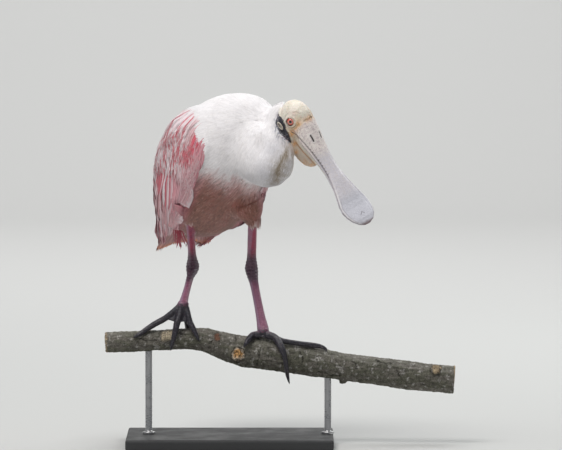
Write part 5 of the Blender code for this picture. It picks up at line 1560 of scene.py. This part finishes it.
def make_bill():
    material = bill_material()
    mottle, fleck = Waves(0.0048, 71, octaves=2), Waves(0.0021, 72, octaves=2)
    for name, node, other in (("upper", "bill_upper", "bill_lower"), ("lower", "bill_lower", "bill_upper")):
        bill = melted("horn_" + name, *node_mesh((node,)), 0.00070, 5)
        co = mesh_points(bill)
        along, side, up = to_head(co).T
        pixels = seen(co)
        spots_big, spots_small = mottle(co), fleck(co)
        rim = np.interp(along, *np.array(BILL_WIDTHS).T) - np.abs(side)
        spoon = smoothstep(0.100, 0.122, along)
        base = smoothstep(0.060, 0.005, along)
        facing = point_normals(bill) @ HEAD[2]
        outer = smoothstep(-0.2, 0.3, facing if name == "upper" else -facing)
        colours = mix(LILAC_GREY, BILL_CREAM, base * 0.75)
        colours = mix(colours, (0.60, 0.62, 0.69), spoon * 0.55)
        colours = mix(colours, BILL_CREAM, 0.30 * smoothstep(0.1, 1.3, spots_big) * (1 - spoon))
        colours = mix(colours, horn_colours(co), smoothstep(0.052, 0.030, along))
        colours = mix(colours, (0.90, 0.87, 0.86), 0.75 * smoothstep(0.0011, 0.0002, np.abs(rim - 0.0016)) * outer
                      * smoothstep(0.08, 0.11, along))
        colours = mix(colours, (0.36, 0.32, 0.36), 0.6 * smoothstep(0.0008, 0.0001, np.abs(rim - 0.0034)) * outer
                      * smoothstep(0.100, 0.125, along))
        colours = mix(colours, (0.24, 0.16, 0.16), smoothstep(0.1560, 0.1608, along + 0.0005 * spots_big) * 0.85)
        colours = mix(colours, (0.30, 0.22, 0.23), smoothstep(0.0009, 0.0002, rim) * smoothstep(0.08, 0.11, along) * 0.7)
        mouth = gap_to((other,), co)
        teeth = np.maximum(np.cos(along * 2 * math.pi / 0.0048), 0) ** 3
        teeth = teeth * smoothstep(0.020, 0.030, along) * smoothstep(0.085, 0.070, along) * (name == "upper")
        reach = 0.0009 + 0.0022 * teeth * smoothstep(-0.6, 0.2, spots_small)
        reach = reach + 0.0006 * smoothstep(0.0, 0.02, along) * smoothstep(0.10, 0.07, along)
        reach = reach - 0.0004 * smoothstep(0.09, 0.12, along)
        shadow = 0.55
        if name == "lower":
            # The pale upper edge of the lower jaw shows beside the mouth line, so it isn't darkened.
            reach = reach * smoothstep(0.085, 0.110, along) - 0.0002
            shadow = 0.20
            colours = mix(colours, (0.80, 0.74, 0.63), 0.85 * smoothstep(1.7, 0.7, line_gap(pixels, JAW_STRIP)))
            colours = mix(colours, (0.46, 0.22, 0.09), 0.75 * smoothstep(0.9, 0.25, line_gap(pixels, JAW_EDGE)))
        # The skin of the head runs on over the bill's base.
        colours = mix(colours, head_colours(co), smoothstep(0.014, 0.004, along))
        # The mouth line between the two halves is painted as shadow: lilac-grey beside it, near black along it,
        # reaching further at the tooth marks.
        colours = mix(colours, (0.30, 0.235, 0.29), shadow * smoothstep(reach + 0.0022, reach + 0.0004, mouth))
        colours = mix(colours, MOUTH_SHADE, smoothstep(reach + 0.0004, reach - 0.0002, mouth))
        out = 0.00005 * spots_small + 0.00006 * spots_big
        if name == "upper":
            slit = line_gap(pixels, NOSTRIL_LINE)
            colours = mix(colours, (0.80, 0.76, 0.74), 0.5 * smoothstep(0.9, 0.2, np.abs(slit - 1.5)))
            # The nostril's slit is painted near black as shade in the opening that the relief below sinks.
            colours = mix(colours, (0.006, 0.005, 0.006), smoothstep(0.95, 0.55, slit))
            out = out - 0.0012 * smoothstep(1.0, 0.4, slit) + 0.0003 * np.exp(-((slit - 1.5) / 0.6) ** 2)
            mark = line_gap(pixels, NAIL_MARK)
            colours = mix(colours, (0.16, 0.13, 0.16), 0.85 * smoothstep(0.55, 0.15, mark) * (side < 0.004))
            from_mark = np.hypot(along - SPOON_MIDDLE[0], side - SPOON_MIDDLE[1])
            ripples = np.sin(from_mark * 2 * math.pi / 0.0024) * smoothstep(0.0130, 0.008, from_mark)
            out = out + 0.00012 * ripples
            colours = mix(colours, (0.44, 0.43, 0.50), 0.25 * smoothstep(0.2, 1.0, ripples))
            # A fine groove runs from each nostril to the spoon's rim.
            groove = np.abs(np.abs(side) - np.interp(along, (0.02, 0.05, 0.09, 0.12, 0.145, 0.158),
                                                     (0.0085, 0.0075, 0.0115, 0.0185, 0.0205, 0.0095)))
            out = out - 0.0003 * np.exp(-((groove / 0.0009) ** 2)) * smoothstep(0.02, 0.03, along)
        lines = np.sin(along * 2 * math.pi / 0.0031 + 2.0 * spots_big)
        out = out + 0.00005 * lines * smoothstep(0.03, 0.06, along)
        moved = co + point_normals(bill) * (out * smoothstep(0.0004, 0.0012, mouth))[:, None]
        if name == "lower":
            # The edges of the lower jaw stand out a little beside the upper half.
            wider = JAW_STAND_OUT * smoothstep(0.000, 0.016, along) * smoothstep(0.100, 0.060, along)
            moved = moved + (np.clip(side / 0.008, -1, 1) * wider)[:, None] * HEAD[1]
        set_points(bill, moved)
        paint(bill, colours)
        bill.data.materials.append(material)
        print("bill", name, len(bill.data.polygons))
        ready(bill, "bill", node)


# Last stretch of each toe: two points and radii for the claw that grows over it.
CLAWS = {
    "right": (
        ((-0.1280, -0.0155, 0.1642), 0.0034, (-0.1404, -0.0175, 0.1570)),
        ((-0.0833, -0.0202, 0.1502), 0.0032, (-0.0858, -0.0160, 0.1385)),
        ((-0.0478, -0.0207, 0.1592), 0.0031, (-0.0442, -0.0185, 0.1520)),
        ((-0.0600, 0.0212, 0.1524), 0.0033, (-0.0600, 0.0160, 0.1400)),
    ),
    "left": (
        ((0.1315, -0.0102, 0.1440), 0.0032, (0.1408, -0.0125, 0.1367)),
        ((0.0823, -0.0258, 0.1100), 0.0032, (0.0862, -0.0200, 0.0905)),
        ((0.0236, -0.0243, 0.1505), 0.0031, (0.0200, -0.0255, 0.1440)),
        ((0.0371, 0.0302, 0.1296), 0.0033, (0.0380, 0.0260, 0.1165)),
    ),
}


def tube(name, path, radii, sides, material=None):
    """A closed round tube along a path of points."""
    path, radii = np.asarray(path, float), np.asarray(radii, float)
    onward = unit(np.gradient(path, axis=0))
    side = unit(np.cross(onward, (0.13, 0.27, 0.95)))
    other = np.cross(onward, side)
    turn = np.linspace(0, 2 * math.pi, sides, endpoint=False)
    ring = np.cos(turn)[None, :, None] * side[:, None] + np.sin(turn)[None, :, None] * other[:, None]
    points = (path[:, None] + ring * radii[:, None, None]).reshape(-1, 3)
    rows = len(path)
    n = np.arange(rows * sides).reshape(rows, sides)
    after = np.roll(n, -1, axis=1)
    quads = np.stack([n[:-1], after[:-1], after[1:], n[1:]], -1).reshape(-1, 4)
    points = np.vstack([points, path[0], path[-1]])
    faces = [quads[:, :3], quads[:, [0, 2, 3]],
             np.stack([after[0], n[0], np.full(sides, rows * sides)], 1),
             np.stack([n[-1], after[-1], np.full(sides, rows * sides + 1)], 1)]
    return mesh_object(name, points, np.vstack(faces), material)


def make_claws():
    made, tree, shader = new_material("claw", 0.32, None, Specular_IOR_Level=0.5)
    place = place_socket(tree)
    grain = noise(tree, 1.0, 3.0, scaled(tree, place, (900.0, 900.0, 250.0)))
    colour = tinted(tree, (0.030, 0.027, 0.032), (0.13, 0.115, 0.125), ramp(tree, grain, 0.35, 0.72))
    tree.links.new(colour, shader.inputs["Base Color"])
    bump(tree, shader, grain, 0.3, 0.0003)
    for name, claws in CLAWS.items():
        for number, (root, radius, tip) in enumerate(claws):
            root, tip = np.array(root), np.array(tip)
            t = np.linspace(0, 1, 9)
            path = root + (tip - root) * t[:, None]
            path[:, 2] += 0.0012 * np.sin(np.pi * t)
            radii = radius * 0.80 * (1 - t) ** 0.75 + 0.0003
            claw = tube(f"claw_{name}_{number + 1}", path, radii, 14, made)
            ready(claw, "foot_skin")


# Marks on the branch as pixels of the photograph.
KNOT_PIXEL, KNOT_SIZE = (238.0, 354.8), (6.4, 7.6)
SCARS = ((166.5, 335.5, 7.0, 6.6, (0.50, 0.42, 0.30)), (217.0, 337.0, 3.4, 4.4, (0.22, 0.095, 0.055)),
         (436.0, 368.0, 5.0, 7.0, (0.46, 0.35, 0.22)))
CRACKS = (
    ((258.6, 351.5), (259.3, 357.0), (257.2, 362.6), (256.4, 367.0)), ((208.0, 344.6), (210.4, 342.2), (212.6, 340.6)),
    ((235.6, 336.0), (236.2, 340.0), (234.8, 343.4)), ((180.0, 333.0), (186.0, 334.4), (192.0, 333.6)),
    ((300.0, 352.0), (303.0, 358.0), (302.0, 365.0)), ((352.0, 361.0), (356.0, 364.0), (357.0, 370.0)),
    ((396.0, 368.0), (398.0, 374.0), (402.0, 379.0)), ((140.0, 338.0), (148.0, 341.0), (156.0, 340.0)),
    ((318.0, 372.0), (330.0, 375.5), (341.0, 376.0)), ((376.0, 360.0), (384.0, 363.5), (391.0, 363.0)),
)
BARK_GREY = (0.170, 0.158, 0.136)
BARK_GREEN = (0.135, 0.132, 0.102)
BARK_DARK = (0.048, 0.043, 0.034)
BARK_PALE = (0.36, 0.345, 0.31)
LICHEN_SPOTS = ((297.0, 348.0, 3.0, 0.9), (319.0, 358.5, 3.0, 0.9), (262.0, 350.0, 1.8, 0.6), (342.0, 369.0, 2.2, 0.7))
CUT_WOOD = (0.46, 0.35, 0.22)
KNOT_ORANGE = (0.60, 0.34, 0.14)
PERCH_LEFT, PERCH_RIGHT = -0.1817, 0.3276


def make_perch():
    made, tree, shader = new_material("bark", 0.86, None, Specular_IOR_Level=0.25)
    paint_layer = add_node(tree, "ShaderNodeAttribute", attribute_name="Col")
    place = place_socket(tree)
    fine = noise(tree, 620.0, 5.0, place, 0.65)
    long_grain = noise(tree, 1.0, 4.0, scaled(tree, place, (70.0, 260.0, 260.0)))
    value = maths(tree, "MULTIPLY", ramp(tree, fine, 0.32, 0.70, 0.62, 1.30), ramp(tree, long_grain, 0.3, 0.7, 0.80, 1.16))
    brighter = add_node(tree, "ShaderNodeHueSaturation", {"Color": paint_layer.outputs["Color"], "Value": value})
    tree.links.new(brighter.outputs[0], shader.inputs["Base Color"])
    bump(tree, shader, maths(tree, "ADD", fine, long_grain), 0.6, 0.0011)
    perch = melted("branch", *node_mesh(("perch",)), 0.0013, 8)
    co, normals = mesh_points(perch), point_normals(perch)
    pixels = seen(co, mirrored=False)
    front = normals[:, 1] < -0.1
    lengthwise = Waves(0.016, 81)(co * (0.35, 1, 1))
    flakes, grains = Waves(0.0075, 82)(co), Waves(0.0030, 83, octaves=2)(co)
    out = -0.0005 + 0.00045 * lengthwise + 0.00030 * flakes + 0.00016 * grains
    out = out - 0.0007 * smoothstep(0.14, 0.02, np.abs(Waves(0.021, 84)(co * (0.5, 1, 1))))
    colours = mix(BARK_GREY, BARK_GREEN, smoothstep(-0.8, 0.8, lengthwise))
    # Bark is darker in the low places between flakes, partly its own tone and partly painted shade.
    colours = mix(colours, BARK_DARK, 0.45 * smoothstep(0.2, -1.2, flakes + 0.6 * grains))
    # Painted shade darkens the furrows carved above.
    colours = mix(colours, BARK_DARK, 0.45 * smoothstep(0.14, 0.02, np.abs(Waves(0.021, 84)(co * (0.5, 1, 1)))))
    lichen = smoothstep(0.75, 1.05, Waves(0.013, 85)(co)) * smoothstep(-0.6, 0.6, grains)
    lichen = np.maximum(0.6 * lichen, spots(pixels, LICHEN_SPOTS) * smoothstep(-0.3, 0.5, grains) * front)
    colours = mix(colours, (0.52, 0.50, 0.48), lichen)
    # Painted light: the upper side of the branch is painted paler, as lit from above.
    upward = smoothstep(0.2, 0.9, normals[:, 2])
    colours = mix(colours, BARK_PALE, 0.22 * upward)
    for line in CRACKS:
        gap = line_gap(pixels + 0.5 * np.stack([grains, flakes], 1), line)
        depth = smoothstep(0.9, 0.1, gap) * front
        out = out - 0.0011 * depth
        # Painted shade darkens each carved crack.
        colours = mix(colours, BARK_DARK * np.array(0.5), 0.85 * depth)
    for x, y, wide, high, bare_wood in SCARS:
        gap = np.hypot((pixels[:, 0] - x) / wide, (pixels[:, 1] - y) / high) + 0.10 * flakes
        inner = smoothstep(1.0, 0.75, gap) * front
        out = out - 0.0006 * inner + 0.0006 * np.exp(-((gap - 1.05) / 0.18) ** 2) * front
        rings = np.sin(gap * 17.0 + 1.5 * flakes)
        colours = mix(colours, mix(bare_wood, BARK_DARK, 0.32 + 0.32 * rings), 0.90 * inner)
        colours = mix(colours, BARK_DARK, 0.7 * smoothstep(0.14, 0.03, np.abs(gap - 1.02)) * front)
    offset = (pixels - np.array(KNOT_PIXEL)) / np.array(KNOT_SIZE)
    gap = np.hypot(*offset.T) + 0.08 * grains
    inner = smoothstep(1.0, 0.82, gap) * front
    swirl = np.sin(gap * 9.0 + 2.5 * np.arctan2(offset[:, 1], offset[:, 0]))
    out = out + inner * (-0.0010 + 0.0008 * swirl) + 0.0009 * np.exp(-((gap - 1.12) / 0.15) ** 2) * front
    wood = mix(KNOT_ORANGE, (0.74, 0.63, 0.50), smoothstep(0.0, 0.8, offset[:, 1]))
    wood = mix(wood, (0.78, 0.68, 0.56), 0.8 * smoothstep(0.16, 0.04, np.abs(gap - 0.88)))
    wood = mix(wood, (0.05, 0.035, 0.025), 0.9 * smoothstep(-0.55, -0.9, swirl))
    colours = mix(colours, wood, inner)
    colours = mix(colours, (0.030, 0.024, 0.018), 0.9 * smoothstep(0.13, 0.03, np.abs(gap - 1.02)) * front)
    # Ends: torn and pale on the left, sawn with rings on the right.
    left = smoothstep(PERCH_LEFT + 0.004, PERCH_LEFT + 0.0015, co[:, 0] + 0.0012 * flakes)
    right = smoothstep(PERCH_RIGHT - 0.0028, PERCH_RIGHT - 0.0016, co[:, 0])
    radius = np.hypot(co[:, 1] - 0.001, co[:, 2] - 0.095)
    rings = np.sin(radius * 2 * math.pi / 0.0023 + 0.8 * flakes)
    sawn = mix(CUT_WOOD, (0.24, 0.17, 0.10), 0.45 + 0.35 * rings)
    torn = mix((0.50, 0.42, 0.30), (0.22, 0.16, 0.10), smoothstep(-0.6, 0.8, grains))
    colours = mix(mix(colours, torn, left), sawn, right)
    out = out * (1 - right) + left * 0.0006 * grains
    set_points(perch, co + normals * np.minimum(out, 0.0008)[:, None])
    paint(perch, colours)
    perch.data.materials.append(made)
    print("perch", len(perch.data.polygons))
    ready(perch, "bark", "perch")


RODS = {"stand_rod_left": (-0.118, -0.001, 0.1374), "stand_rod_right": (0.142, 0.0, 0.0982)}
BASE_TOP = 0.016


def make_stand():
    made, tree, shader = new_material("rod_steel", 0.3, (0.56, 0.56, 0.57), Metallic=1.0)
    place = place_socket(tree)
    brushed = noise(tree, 1.0, 4.0, scaled(tree, place, (160.0, 160.0, 2600.0)))
    smudges = noise(tree, 60.0, 3.0, place)
    roughness = maths(tree, "ADD", ramp(tree, brushed, 0.3, 0.7, 0.20, 0.34), ramp(tree, smudges, 0.4, 0.7, 0.0, 0.12))
    tree.links.new(roughness, shader.inputs["Roughness"])
    tree.links.new(tinted(tree, (0.50, 0.50, 0.51), (0.66, 0.66, 0.66), brushed), shader.inputs["Base Color"])
    bump(tree, shader, brushed, 0.15, 0.0002)
    turn = 40
    for name, (x, y, top) in RODS.items():
        profile = ((BASE_TOP + 0.0002, 0.0092), (BASE_TOP + 0.0030, 0.0092), (BASE_TOP + 0.0036, 0.0086),
                   (BASE_TOP + 0.0042, 0.0062), (BASE_TOP + 0.0050, 0.0050), (top - 0.0005, 0.0050), (top, 0.0047))
        heights, radii = np.array(profile).T
        path = np.stack([np.full(len(heights), x), np.full(len(heights), y), heights], 1)
        rod = tube(name + "_turned", path, radii, turn, made)
        edge = rod.modifiers.new("Bevel", "BEVEL")
        edge.width = 0.0003
        edge.segments = 2
        edge.limit_method = "ANGLE"
        apply_modifiers(rod)
        rod.data.shade_smooth()
        rod.data.set_sharp_from_angle(angle=math.radians(35))
        ready(rod, "rod_steel", name)
    made, tree, shader = new_material("base_paint", 0.55, None, Specular_IOR_Level=0.4)
    place = place_socket(tree)
    speckle = noise(tree, 1300.0, 3.0, place)
    cloudy = noise(tree, 26.0, 4.0, place)
    scuffs = noise(tree, 1.0, 5.0, scaled(tree, place, (240.0, 30.0, 120.0)))
    colour = tinted(tree, (0.030, 0.031, 0.033), (0.060, 0.060, 0.062), ramp(tree, speckle, 0.35, 0.7))
    colour = tinted(tree, colour, (0.10, 0.10, 0.10), ramp(tree, scuffs, 0.66, 0.80, 0.0, 0.5))
    tree.links.new(colour, shader.inputs["Base Color"])
    tree.links.new(ramp(tree, cloudy, 0.3, 0.7, 0.42, 0.62), shader.inputs["Roughness"])
    bump(tree, shader, speckle, 0.3, 0.0003)
    NODES["stand_base"].data.materials[0] = made


def main():
    make_camera()
    make_stage()
    make_lights()
    materials = {
        "down": feather_material("down", 0.85, 0.25, 0.07),
        "vane": feather_material("vane", 0.60, 0.12, 0.22, 0.0005),
        "skin": skin_material(),
    }
    clock("start")
    bed = make_bed()
    clock("bed")
    wings = {side: WingSurface(side) for side in (1, -1)}
    make_skin([wing.core() for wing in wings.values()], materials)
    clock("skin")
    make_body_coat(bed, materials)
    clock("coat")
    for side, surface in wings.items():
        make_wing(side, surface, materials)
    make_tail(materials)
    make_strands(materials)
    clock("wings")
    make_eyes()
    make_ears(materials)
    make_bill()
    make_claws()
    clock("bill")
    make_perch()
    make_stand()
    clock("end")


import time
T0 = time.time()


def clock(text):
    print(text, round(time.time() - T0, 1))


main()
